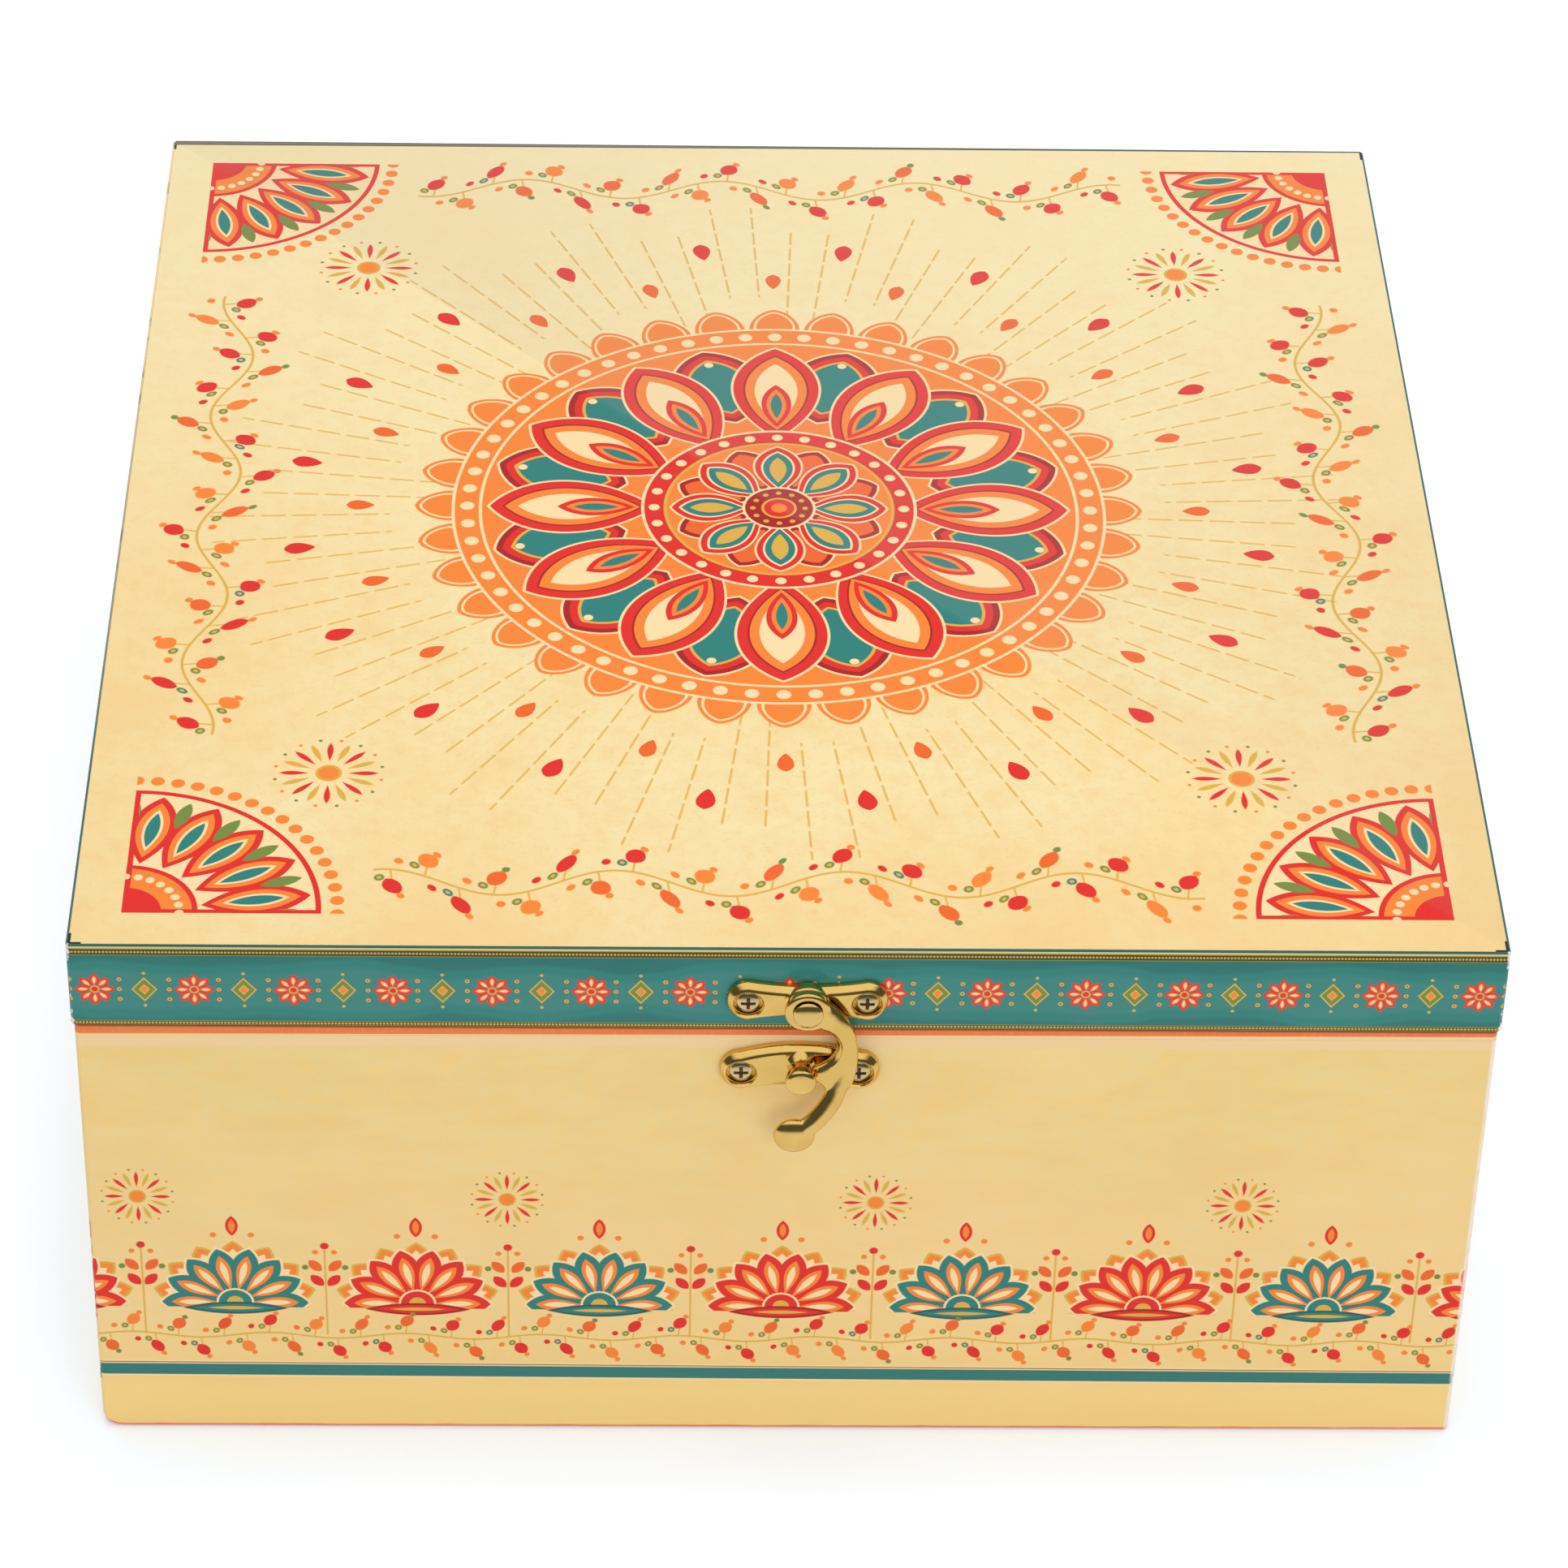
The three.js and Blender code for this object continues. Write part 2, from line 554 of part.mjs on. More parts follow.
function knuckle([start, stop]) {
  const bore = PIN_RADIUS + PIN_CLEARANCE;
  const ring = [[bore, start], [KNUCKLE_RADIUS, start], [KNUCKLE_RADIUS, stop], [bore, stop], [bore, start]];
  return turned(ring, SMALL_SIDES, 'right');
}

// One leaf about the pin's axis: way is 1 for the lid's leaf above the pin and -1 for the base's below it
function hingeLeaf(way, spans) {
  const back = LID_Y[1] - HINGE_Y;
  const thick = [back, back + LEAF_THICKNESS];
  const rising = (low, high) => (way > 0 ? [low, high] : [-high, -low]);
  const half = LEAF_WIDTH / 2;
  const plate = block([-half, half], thick, rising(LEAF_START, LEAF_START + LEAF_HEIGHT));
  const tabs = spans.map((span) => block(span, thick, rising(0, LEAF_START + FIT)));
  const holes = SIDES.map(([, sign]) => {
    const hole = rod(HINGE_SCREW_SHANK_RADIUS + FIT, [-TOOL_OVERRUN, TOOL_OVERRUN], SCREW_SIDES, 'back');
    return hole.translate(sign * HINGE_SCREW_SPACING / 2, middle(thick), way * LEAF_SCREW_DROP);
  });
  return cut(join(plate, ...tabs, ...spans.map(knuckle)), ...holes);
}

function hingeScrew() {
  return turned([
    [0, -HINGE_SCREW_DEPTH],
    [HINGE_SCREW_SHANK_RADIUS, 2 * HINGE_SCREW_SHANK_RADIUS - HINGE_SCREW_DEPTH],
    [HINGE_SCREW_SHANK_RADIUS, LEAF_THICKNESS],
    ...dome(HINGE_SCREW_HEAD_RADIUS, LEAF_THICKNESS, HINGE_SCREW_HEAD_HEIGHT),
  ], SCREW_SIDES, 'back');
}

// The pin has a low head past each outer knuckle, which keeps it in the barrel.
function hingePin() {
  const seat = KNUCKLE_SPANS[2][1] + FIT / 2;
  const end = seat + FIT;
  return turned([
    [0, -end],
    [PIN_HEAD_RADIUS, -end],
    [PIN_HEAD_RADIUS, -seat],
    [PIN_RADIUS, -seat],
    [PIN_RADIUS, seat],
    [PIN_HEAD_RADIUS, seat],
    [PIN_HEAD_RADIUS, end],
    [0, end],
  ], SMALL_SIDES, 'right');
}

function makeHinges(base, lid) {
  const [outerLeft, centre, outerRight] = KNUCKLE_SPANS;
  for (const [side, sign] of SIDES) {
    const x = sign * HINGE_SPACING / 2;
    const baseHalf = groupAt(base, x, HINGE_Y, HINGE_Z);
    const lidHalf = groupAt(lid, x, HINGE_Y, HINGE_Z);
    add(baseHalf, `hinge_${side}_base_leaf`, hingeLeaf(-1, [outerLeft, outerRight]), BRASS);
    add(lidHalf, `hinge_${side}_lid_leaf`, hingeLeaf(1, [centre]), BRASS);
    add(baseHalf, `hinge_${side}_pin`, hingePin(), PALE_BRASS);
    for (const [end, along] of SIDES) {
      const screwX = x + along * HINGE_SCREW_SPACING / 2;
      const low = groupAt(base, screwX, LID_Y[1], HINGE_Z - LEAF_SCREW_DROP);
      const high = groupAt(lid, screwX, LID_Y[1], HINGE_Z + LEAF_SCREW_DROP);
      add(low, `hinge_${side}_base_screw_${end}`, hingeScrew(), PALE_BRASS);
      add(high, `hinge_${side}_lid_screw_${end}`, hingeScrew(), PALE_BRASS);
    }
  }
}

// Divider: two boards halved into each other on the floor, which part the box into four cells
const CENTRE_X = middle(HOLLOW_X);
const CENTRE_Y = middle(HOLLOW_Y);
const DIVIDER_X = [CENTRE_X - DIVIDER / 2, CENTRE_X + DIVIDER / 2];
const DIVIDER_Y = [CENTRE_Y - DIVIDER / 2, CENTRE_Y + DIVIDER / 2];

function makeDivider(base) {
  const top = FLOOR_Z + DIVIDER_HEIGHT;
  const half = FLOOR_Z + DIVIDER_HEIGHT / 2;
  const across = block(inset(HOLLOW_X, FIT), DIVIDER_Y, [FLOOR_Z, top]);
  const along = block(DIVIDER_X, inset(HOLLOW_Y, FIT), [FLOOR_Z, top]);
  const upperSlot = block(inset(DIVIDER_X, -FIT), inset(DIVIDER_Y, -FIT), [half, top + TOOL_OVERRUN]);
  const lowerSlot = block(inset(DIVIDER_X, -FIT), inset(DIVIDER_Y, -FIT), [0, half + FIT]);
  add(base, 'divider_across', cut(across, upperSlot), GREYBOARD);
  add(base, 'divider_along', cut(along, lowerSlot), GREYBOARD);
}

// Jars: as wide as the smaller side of a cell and as tall as the closed lid leaves room for
const CELL_X = [DIVIDER_X[1], HOLLOW_X[1]];
const CELL_Y = [DIVIDER_Y[1], HOLLOW_Y[1]];
const CELL_WIDTH = Math.min(CELL_X[1] - CELL_X[0], CELL_Y[1] - CELL_Y[0]);
const JAR_RADIUS = CELL_WIDTH / 2 - JAR_CLEARANCE;
const JAR_RIM = CEILING_Z - FLOOR_Z - JAR_HEADSPACE - CAP_WALL - LINER;
const NECK_RADIUS = JAR_RADIUS - JAR_SHOULDER;
const CAP_INNER_RADIUS = NECK_RADIUS + CAP_CLEARANCE;

function jarBody() {
  const neckBase = JAR_RIM - JAR_FINISH_HEIGHT;
  const shoulderBase = neckBase - JAR_SHOULDER;
  const inner = JAR_RADIUS - JAR_WALL;
  const bore = NECK_RADIUS - JAR_WALL;
  return turned([
    [0, JAR_PUSH_UP],
    [JAR_RADIUS - 3 * JAR_HEEL, JAR_PUSH_UP],
    [JAR_RADIUS - 2 * JAR_HEEL, 0],
    [JAR_RADIUS - JAR_HEEL, 0],
    [JAR_RADIUS - JAR_HEEL * CORNER_SHARE, JAR_HEEL * CORNER_SHARE],
    [JAR_RADIUS, JAR_HEEL],
    [JAR_RADIUS, shoulderBase],
    [JAR_RADIUS - JAR_SHOULDER * CORNER_SHARE, neckBase - JAR_SHOULDER * CORNER_SHARE],
    [NECK_RADIUS, neckBase],
    [NECK_RADIUS, JAR_RIM],
    [bore, JAR_RIM],
    [bore, neckBase - JAR_WALL],
    [inner - JAR_SHOULDER * CORNER_SHARE, neckBase - JAR_SHOULDER * CORNER_SHARE - JAR_WALL],
    [inner, shoulderBase],
    [inner, JAR_FLOOR + JAR_HEEL],
    [inner - JAR_HEEL, JAR_FLOOR],
    [0, JAR_FLOOR],
  ], JAR_SIDES, 'up');
}

function jarCap() {
  const under = JAR_RIM + LINER;
  const top = under + CAP_WALL;
  const foot = top - CAP_SKIRT_HEIGHT;
  const outer = CAP_INNER_RADIUS + CAP_WALL;
  return turned([
    [0, under],
    [CAP_INNER_RADIUS, under],
    [CAP_INNER_RADIUS, foot],
    [outer + CAP_CURL, foot],
    [outer + CAP_CURL, foot + 2 * CAP_CURL],
    [outer, foot + 3 * CAP_CURL],
    [outer, top - CAP_CURL],
    [outer - CAP_CURL, top],
    [0, top],
  ], JAR_SIDES, 'up');
}

function makeJars(base) {
  let number = 0;
  for (const rowSign of [-1, 1]) {
    for (const columnSign of [-1, 1]) {
      number += 1;
      const x = CENTRE_X + columnSign * (middle(CELL_X) - CENTRE_X);
      const y = CENTRE_Y + rowSign * (middle(CELL_Y) - CENTRE_Y);
      const cap = groupAt(base, x, y, FLOOR_Z);
      const liner = rod(CAP_INNER_RADIUS - FIT, [JAR_RIM, JAR_RIM + LINER], JAR_SIDES, 'up');
      add(groupAt(base, x, y, FLOOR_Z), `jar_${number}_body`, jarBody(), GLASS);
      add(cap, `jar_${number}_cap`, jarCap(), GOLD_TIN);
      add(cap, `jar_${number}_cap_liner`, liner, LINER_FOAM);
    }
  }
}

const box = new THREE.Group();
const base = groupAt(box, 0, 0, 0);
const lid = groupAt(box, 0, 0, 0);
const hook = groupAt(lid, 0, 0, 0);
makeBase(base);
makeLid(lid);
makeLatch(base, lid, hook);
makeHinges(base, lid);
makeDivider(base);
makeJars(base);

export default box;
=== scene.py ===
# A papered gift box with a brass hook latch, two butt hinges, a four-cell divider and four glass jars.
# Metres, +Z up, front towards -Y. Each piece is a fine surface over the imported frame's own solids.
import math
import bmesh
import bpy
from mathutils import Matrix, Vector


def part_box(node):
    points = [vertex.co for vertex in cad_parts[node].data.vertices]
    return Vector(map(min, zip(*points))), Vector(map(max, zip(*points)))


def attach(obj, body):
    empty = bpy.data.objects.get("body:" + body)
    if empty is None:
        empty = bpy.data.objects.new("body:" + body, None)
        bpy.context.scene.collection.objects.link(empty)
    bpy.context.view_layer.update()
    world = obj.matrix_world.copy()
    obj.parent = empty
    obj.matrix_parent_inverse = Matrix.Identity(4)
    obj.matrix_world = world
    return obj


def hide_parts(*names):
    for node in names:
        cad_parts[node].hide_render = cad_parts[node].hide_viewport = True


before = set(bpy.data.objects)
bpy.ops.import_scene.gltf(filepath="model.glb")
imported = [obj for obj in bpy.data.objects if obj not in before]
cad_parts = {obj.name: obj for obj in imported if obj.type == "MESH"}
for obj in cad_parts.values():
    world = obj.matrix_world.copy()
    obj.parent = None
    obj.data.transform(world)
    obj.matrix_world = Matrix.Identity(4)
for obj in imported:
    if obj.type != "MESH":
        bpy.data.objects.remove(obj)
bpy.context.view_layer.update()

MM = 0.001
TURN = 2 * math.pi


def tone(red, green, blue):
    """A colour given in display values from 0 to 255, as linear light."""
    shares = [value / 255 for value in (red, green, blue)]
    linear = [s / 12.92 if s <= 0.04045 else ((s + 0.055) / 1.055) ** 2.4 for s in shares]
    return (*linear, 1.0)


def box_of(node):
    """A node's low and high corners in the frame."""
    low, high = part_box(node)
    return Vector(low), Vector(high)


def node_middle(node):
    low, high = box_of(node)
    return (low + high) / 2


# Inks and finishes, with tones for painted shadow and painted reflection
CREAM = tone(249, 230, 174)
CREAM_LIGHT = tone(253, 238, 190)
CREAM_WARM = tone(250, 220, 158)
CREAM_DEEP = tone(245, 206, 138)
SIDE_CREAM = tone(239, 215, 147)
SIDE_CREAM_DEEP = tone(252, 214, 130)
SIDE_STREAK = tone(243, 202, 121)
RIM_FADE = tone(247, 213, 160)
# Painted shadow that the lid's edge casts on the rim
RIM_PAINTED_SHADOW = tone(150, 66, 28)
FOOT_ORANGE = tone(236, 134, 84)
PEACH = tone(249, 213, 156)
FOOT_CREAM = tone(255, 220, 141)
PALE_FLAME = tone(253, 224, 170)
TEAL = tone(40, 128, 121)
TEAL_DEEP = tone(28, 96, 94)
# Painted reflection: the paler middle of the lid band's gloss
TEAL_PAINTED_REFLECTION = tone(66, 138, 130)
STRIPE_TEAL = tone(50, 122, 116)
OLIVE = tone(118, 140, 62)
OLIVE_DARK = tone(66, 62, 30)
BROWN_RULE = tone(142, 104, 60)
BACK_BROWN = tone(134, 116, 94)
GOLD_INK = tone(226, 176, 70)
PALE_GOLD = tone(232, 202, 120)
ORANGE = tone(250, 136, 52)
ORANGE_DEEP = tone(242, 104, 40)
RED = tone(228, 42, 34)
RED_DEEP = tone(170, 24, 24)
WHITE_PAPER = tone(236, 232, 226)
BARE_FOLD = tone(250, 240, 233)
CROP_BLACK = tone(20, 18, 18)

# Sizes read from the frame
LID_LOW, LID_HIGH = box_of("lid_band_print")
BASE_LOW, BASE_HIGH = box_of("base_lining")
BASE_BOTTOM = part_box("base_bottom_paper")[0][2]
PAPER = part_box("base_bottom_paper")[1][2] - BASE_BOTTOM
PRINT_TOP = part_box("base_front_print")[1][2]
LID_MIDDLE = (LID_LOW + LID_HIGH) / 2
LID_HALF = (LID_HIGH - LID_LOW) / 2
BASE_MIDDLE = (BASE_LOW + BASE_HIGH) / 2
BASE_HALF = (BASE_HIGH - BASE_LOW) / 2

# Paper folds
BOX_CORNER = 0.9 * MM
FOLD = 0.4 * MM
EDGE_SHOWN = 0.42 * MM
SOFT_EDGE = 0.12 * MM
SIDE_STEPS = 24
NEAR_CORNER = (0.8, 1.8, 3.2, 5.0)
ARC_STEPS = 4

# Soft widths of printed edges, in millimetres
CRISP = 0.14
FINE = 0.2


class Field:
    """A number that changes over a surface: a socket that takes part in Python arithmetic."""

    def __init__(self, paint, socket):
        self.paint = paint
        self.socket = socket

    def __add__(self, other):
        return self.paint.math("ADD", self, other)

    __radd__ = __add__

    def __sub__(self, other):
        return self.paint.math("SUBTRACT", self, other)

    def __rsub__(self, other):
        return self.paint.math("SUBTRACT", other, self)

    def __mul__(self, other):
        return self.paint.math("MULTIPLY", self, other)

    __rmul__ = __mul__

    def __truediv__(self, other):
        return self.paint.math("DIVIDE", self, other)

    def __neg__(self):
        return self.paint.math("MULTIPLY", self, -1.0)

    def __abs__(self):
        return self.paint.math("ABSOLUTE", self)

    def least(self, other):
        return self.paint.math("MINIMUM", self, other)

    def most(self, other):
        return self.paint.math("MAXIMUM", self, other)

    def wave(self):
        return self.paint.math("SINE", self)

    def part(self):
        return self.paint.math("FRACT", self)

    def whole(self):
        return self.paint.math("FLOOR", self)

    def scaled(self, share, shift=0.0):
        return self.paint.math("MULTIPLY_ADD", self, share, shift)

    def repeated(self, pitch, shift=0.0):
        """How far the number lies from the middle of its own repeat of a pattern."""
        return (self.scaled(1 / pitch, shift).part() - 0.5) * pitch

    def below(self, edge, soft=CRISP):
        """1 where the number is under the edge and 0 above it, soft in between."""
        return self.paint.math("MULTIPLY_ADD", self, -1 / soft, edge / soft + 0.5, clamp=True)

    def above(self, edge, soft=CRISP):
        return self.paint.math("MULTIPLY_ADD", self, 1 / soft, 0.5 - edge / soft, clamp=True)

    def within(self, low, high, soft=CRISP):
        return abs(self - (low + high) / 2).below((high - low) / 2, soft)


class Paint:
    """A node tree, and the colour that is laid on a surface coat by coat."""

    def __init__(self, tree):
        self.tree = tree
        self.tree.nodes.clear()
        self.colour = None

    def node(self, kind, settings=(), sockets=()):
        made = self.tree.nodes.new(kind)
        for name, value in dict(settings).items():
            setattr(made, name, value)
        for name, value in dict(sockets).items():
            self.feed(made.inputs[name], value)
        return made

    def feed(self, socket, value):
        source = value.socket if isinstance(value, Field) else value
        if isinstance(source, bpy.types.NodeSocket):
            self.tree.links.new(source, socket)
        else:
            socket.default_value = source

    def field(self, kind, settings=(), sockets=(), output=0):
        return Field(self, self.node(kind, settings, sockets).outputs[output])

    def shader(self, kind, **sockets):
        """A shader node's output; underscores in socket names stand for spaces."""
        named = {name.replace("_", " "): value for name, value in sockets.items()}
        return self.node(f"ShaderNode{kind}", (), named).outputs[0]

    def mix_shader(self, share, under, over):
        return self.node("ShaderNodeMixShader", (), {0: share, 1: under, 2: over}).outputs[0]

    def math(self, operation, *terms, clamp=False):
        settings = {"operation": operation, "use_clamp": clamp}
        return self.field("ShaderNodeMath", settings, dict(enumerate(terms)))

    def length(self, x, y):
        flat = self.field("ShaderNodeCombineXYZ", (), {0: x, 1: y})
        return self.field("ShaderNodeVectorMath", {"operation": "LENGTH"}, {0: flat}, "Value")

    def split(self, vector):
        parts = self.node("ShaderNodeSeparateXYZ", (), {0: vector})
        return [Field(self, socket) for socket in parts.outputs]

    def print_place(self):
        """Where a point lies on its printed sheet, in millimetres."""
        sheet = self.field("ShaderNodeUVMap", {"uv_map": "Print"})
        across, up, _ = self.split(sheet)
        return across, up

    def place(self):
        """Where a point lies on its piece at rest, in the frame's metres."""
        return self.field("ShaderNodeTexCoord", (), (), "Object")

    def noise(self, scale, detail=2.0, roughness=0.5, stretch=(1.0, 1.0, 1.0)):
        """Soft mottling from 0 to 1, with its scale in lumps per metre."""
        where = self.field("ShaderNodeVectorMath", {"operation": "MULTIPLY"}, {0: self.place(), 1: stretch})
        sockets = {"Vector": where, "Scale": scale, "Detail": detail, "Roughness": roughness}
        return self.field("ShaderNodeTexNoise", (), sockets, 0)

    def mix(self, under, over, mask):
        settings = {"data_type": "RGBA"}
        return self.node("ShaderNodeMix", settings, {0: mask, 6: under, 7: over}).outputs[2]

    def lay(self, colour, mask=None):
        self.colour = colour if mask is None else self.mix(self.colour, colour, mask)

    def nest(self, distance, tones, mask=None, soft=CRISP):
        """Lays tones inside each other, each from its own depth inside the outline."""
        for depth, colour in tones:
            shown = distance.below(-depth, soft)
            self.lay(colour, shown if mask is None else shown * mask)

    def dot(self, across, up, size):
        """The distance to a round dot, negative inside it."""
        return self.length(across, up) - size

    def bump(self, height, depth):
        return self.field("ShaderNodeBump", (), {"Height": height, "Distance": depth, "Strength": 1.0})

    def surface(self, **sockets):
        """Ends the tree with a Principled surface in the colour that was laid."""
        self.finish(self.shader("BsdfPrincipled", Base_Color=self.colour, **sockets))

    def finish(self, shader, kind="Material"):
        self.node(f"ShaderNodeOutput{kind}", (), {"Surface": shader})


def new_paint(name):
    material = bpy.data.materials.new(name)
    material.use_nodes = True
    return material, Paint(material.node_tree)


# Print motifs, as distances in millimetres that are negative inside
def lens(paint, across, along, half_length, half_width):
    """A pointed oval that stands along one direction."""
    radius = (half_length ** 2 + half_width ** 2) / (2 * half_width)
    return paint.length(abs(across) + (radius - half_width), along) - radius


def leaf(paint, across, rise, lean, half_length, half_width):
    """A pointed oval that leans over by some degrees."""
    level = math.cos(math.radians(lean))
    tilt = math.sin(math.radians(lean))
    return lens(paint, across * level - rise * tilt, across * tilt + rise * level, half_length, half_width)


class Round:
    """Places about the middle of a round motif, and the shapes that stand in rings there."""

    def __init__(self, paint, x, y):
        self.paint = paint
        self.radius = paint.length(x, y)
        self.angle = paint.math("ARCTAN2", y, x)

    def sector(self, count, phase, ring):
        """How far a point lies along a ring from the middle of its own sector."""
        return (self.angle.scaled(count / TURN, phase).part() - 0.5) * (TURN / count * ring)

    def disc(self, size):
        return self.radius - size

    def petals(self, count, middle, half_length, half_width, phase=0.5, taper=0.0):
        """A ring of petals; taper widens each one towards its tip, or its foot if negative."""
        along = self.radius - middle
        across = self.sector(count, phase, middle)
        if taper:
            across = across * along.scaled(-taper / half_length, 1.0)
        return lens(self.paint, across, along, half_length, half_width)

    def beads(self, count, ring, size, phase=0.5):
        return self.paint.dot(self.sector(count, phase, ring), self.radius - ring, size)

    def draw(self, rings, mask=None):
        """Lays rings, each a shape, its sizes and its tones by depth, the later ones over the earlier."""
        for shape, sizes, tones in rings:
            self.paint.nest(shape(self, *sizes), tones, mask)


# Starburst, in shares of its size: the rays' middle, half length and half width, dots, disc and rim
STAR_RAYS = 16
STAR_RAY = (0.62, 0.27, 0.055)
STAR_DOT = (0.97, 0.035)
STAR_DISC = 0.24
STAR_RIM = 0.05


def starburst(motif, size):
    """Rays round a disc, with dots at their ends: the colours of the rays take turns."""
    paint = motif.paint
    rays = motif.petals(STAR_RAYS, *[share * size for share in STAR_RAY])
    warm = motif.angle.scaled(STAR_RAYS / 2, 0.8).wave().above(0.0, 0.1)
    paint.lay(paint.mix(GOLD_INK, RED, warm), rays.below(0, FINE))
    dots = motif.beads(STAR_RAYS, *[share * size for share in STAR_DOT], 0.0)
    paint.lay(paint.mix(ORANGE, OLIVE, warm), dots.below(0, FINE))
    paint.nest(motif.disc(STAR_DISC * size), [(0.0, GOLD_INK), (STAR_RIM * size, ORANGE)])


# Vine: a stalked leaf and three berries in each cell, placed by (across, rise) from the stem
VINE_GAP = 4.5
VINE_STEM = 0.2
VINE_STALK = 0.13
STALK_LEAN = 0.12
STALK_RISE = 2.6
VINE_LEAF = (0.35, 3.4)
VINE_LEAN = 34.0
SEEDED_BERRY = (-1.4, 1.7)
UPPER_BERRY = (1.5, 5.2)
LOWER_BERRY = (1.0, -1.9)
HUE_STEP = 0.618
HUE_SOFT = 0.02


def vine(paint, along, height, pitch, swing, size):
    """A waving stem with stalked leaves and berries on both sides in turn, drawn to a size."""
    along = along / size
    offset = height / size - (along * (TURN / pitch)).wave() * swing
    paint.lay(GOLD_INK, abs(offset).below(VINE_STEM, FINE))
    cell = along / VINE_GAP
    across = (cell.part() - 0.5) * VINE_GAP
    side = (cell * 0.5).part().above(0.5, 0.0005).scaled(2.0, -1.0)
    rise = offset * side
    hue = (cell.whole() * HUE_STEP).part()
    stalk = abs(across - rise * STALK_LEAN).below(VINE_STALK, FINE) * rise.within(0.0, STALK_RISE)
    paint.lay(GOLD_INK, stalk)

    def from_stem(spot):
        return across - spot[0], rise - spot[1]

    warm = paint.mix(ORANGE_DEEP, RED, hue.above(0.55, HUE_SOFT))
    tones = [(0.0, paint.mix(warm, ORANGE, hue.below(0.25, HUE_SOFT)))]
    paint.nest(leaf(paint, *from_stem(VINE_LEAF), VINE_LEAN, 1.7, 1.25), tones, soft=FINE)
    tones = [(0.0, paint.mix(OLIVE, TEAL, hue.above(0.8, HUE_SOFT))), (0.36, GOLD_INK)]
    paint.nest(paint.dot(*from_stem(SEEDED_BERRY), 0.68), tones, soft=FINE)
    tones = [(0.0, paint.mix(ORANGE, OLIVE, hue.within(0.3, 0.5, HUE_SOFT)))]
    paint.nest(paint.dot(*from_stem(UPPER_BERRY), 0.55), tones, soft=FINE)
    tones = [(0.0, paint.mix(RED, ORANGE, hue.above(0.4, HUE_SOFT)))]
    paint.nest(paint.dot(*from_stem(LOWER_BERRY), 0.62), tones, soft=FINE)


# Sprig between blooms: leaves as (reach, foot, colour), berries as (reach, foot, size, colour)
SPRIG_STEM = (-2.4, 18.6)
SPRIG_LEAN = 40.0
SPRIG_LEAVES = [(1.5, 11.0, RED), (1.8, 14.6, ORANGE_DEEP)]
SPRIG_BERRIES = [(3.6, 14.2, 0.6, OLIVE), (1.7, 17.9, 0.55, ORANGE), (0.0, 19.4, 0.8, RED)]


def sprig(paint, across, rise):
    """A short upright stem with paired leaves and berries."""
    wide = abs(across)
    paint.lay(GOLD_INK, wide.below(0.17, FINE) * rise.within(*SPRIG_STEM, 0.3))
    for reach, foot, colour in SPRIG_LEAVES:
        paint.lay(colour, leaf(paint, wide - reach, rise - foot, SPRIG_LEAN, 1.7, 1.0).below(0, FINE))
    for reach, foot, size, colour in SPRIG_BERRIES:
        paint.lay(colour, paint.dot(wide - reach, rise - foot, size).below(0, FINE))


# Paper mottling from coarse to fine: noise scale, detail and roughness, then edge, softness and weight
MOTTLES = [
    (75.0, 4.0, 0.65, 0.62, 0.25, 0.45),
    (280.0, 4.0, 0.7, 0.55, 0.2, 0.4),
    (900.0, 2.0, 0.6, 0.64, 0.12, 0.4),
]


def parchment(paint, light, warm, deep, edge):
    """A cream ground with soft clouds, deeper tone by the sheet's edge and fine flecks."""
    clouds = paint.noise(20.0, detail=5.0, roughness=0.6)
    paint.lay(light)
    paint.lay(warm, clouds.above(0.52, 0.3) * 0.8)
    paint.lay(deep, edge * clouds.scaled(1.4, -0.1).most(0.0))
    for scale, detail, roughness, level, soft, weight in MOTTLES:
        paint.lay(deep, paint.noise(scale, detail, roughness).above(level, soft) * weight)


def coated_paper(paint, ripple, mottle, roughness):
    """The face of printed paper: ripples of the glue below, a fine tooth and an uneven sheen."""
    relief = paint.noise(ripple) + paint.noise(1400.0, detail=1.0) * 0.012
    sheen = paint.noise(mottle).scaled(0.14, roughness)
    paint.surface(Roughness=sheen, Normal=paint.bump(relief, 0.2 * MM), Specular_IOR_Level=0.3)


# Lid top: a lotus round with fine rays, quarter rounds in the corners, and vines along the sides
TOP_FADE = 200.0
EDGE_FADE = 45.0
FAN_INSET = 9.0
FAN_X = LID_HALF.x / MM - FAN_INSET
FAN_Y = LID_HALF.y / MM - FAN_INSET
TOP_VINE_INSET = 9.0
TOP_VINE_SIZE = 1.35
TOP_VINE_HALF = 12 * VINE_GAP * TOP_VINE_SIZE
TOP_STAR_X = 82.0
TOP_STAR_Y = 84.0
TOP_STAR_SIZE = 10.0
RAY_COUNT = 80
RAY_ENDS = (70.0, 104.0)
RAY_SWING = 6.0
RAY_SWINGS = 20
DASHES_PER_MM = 0.17
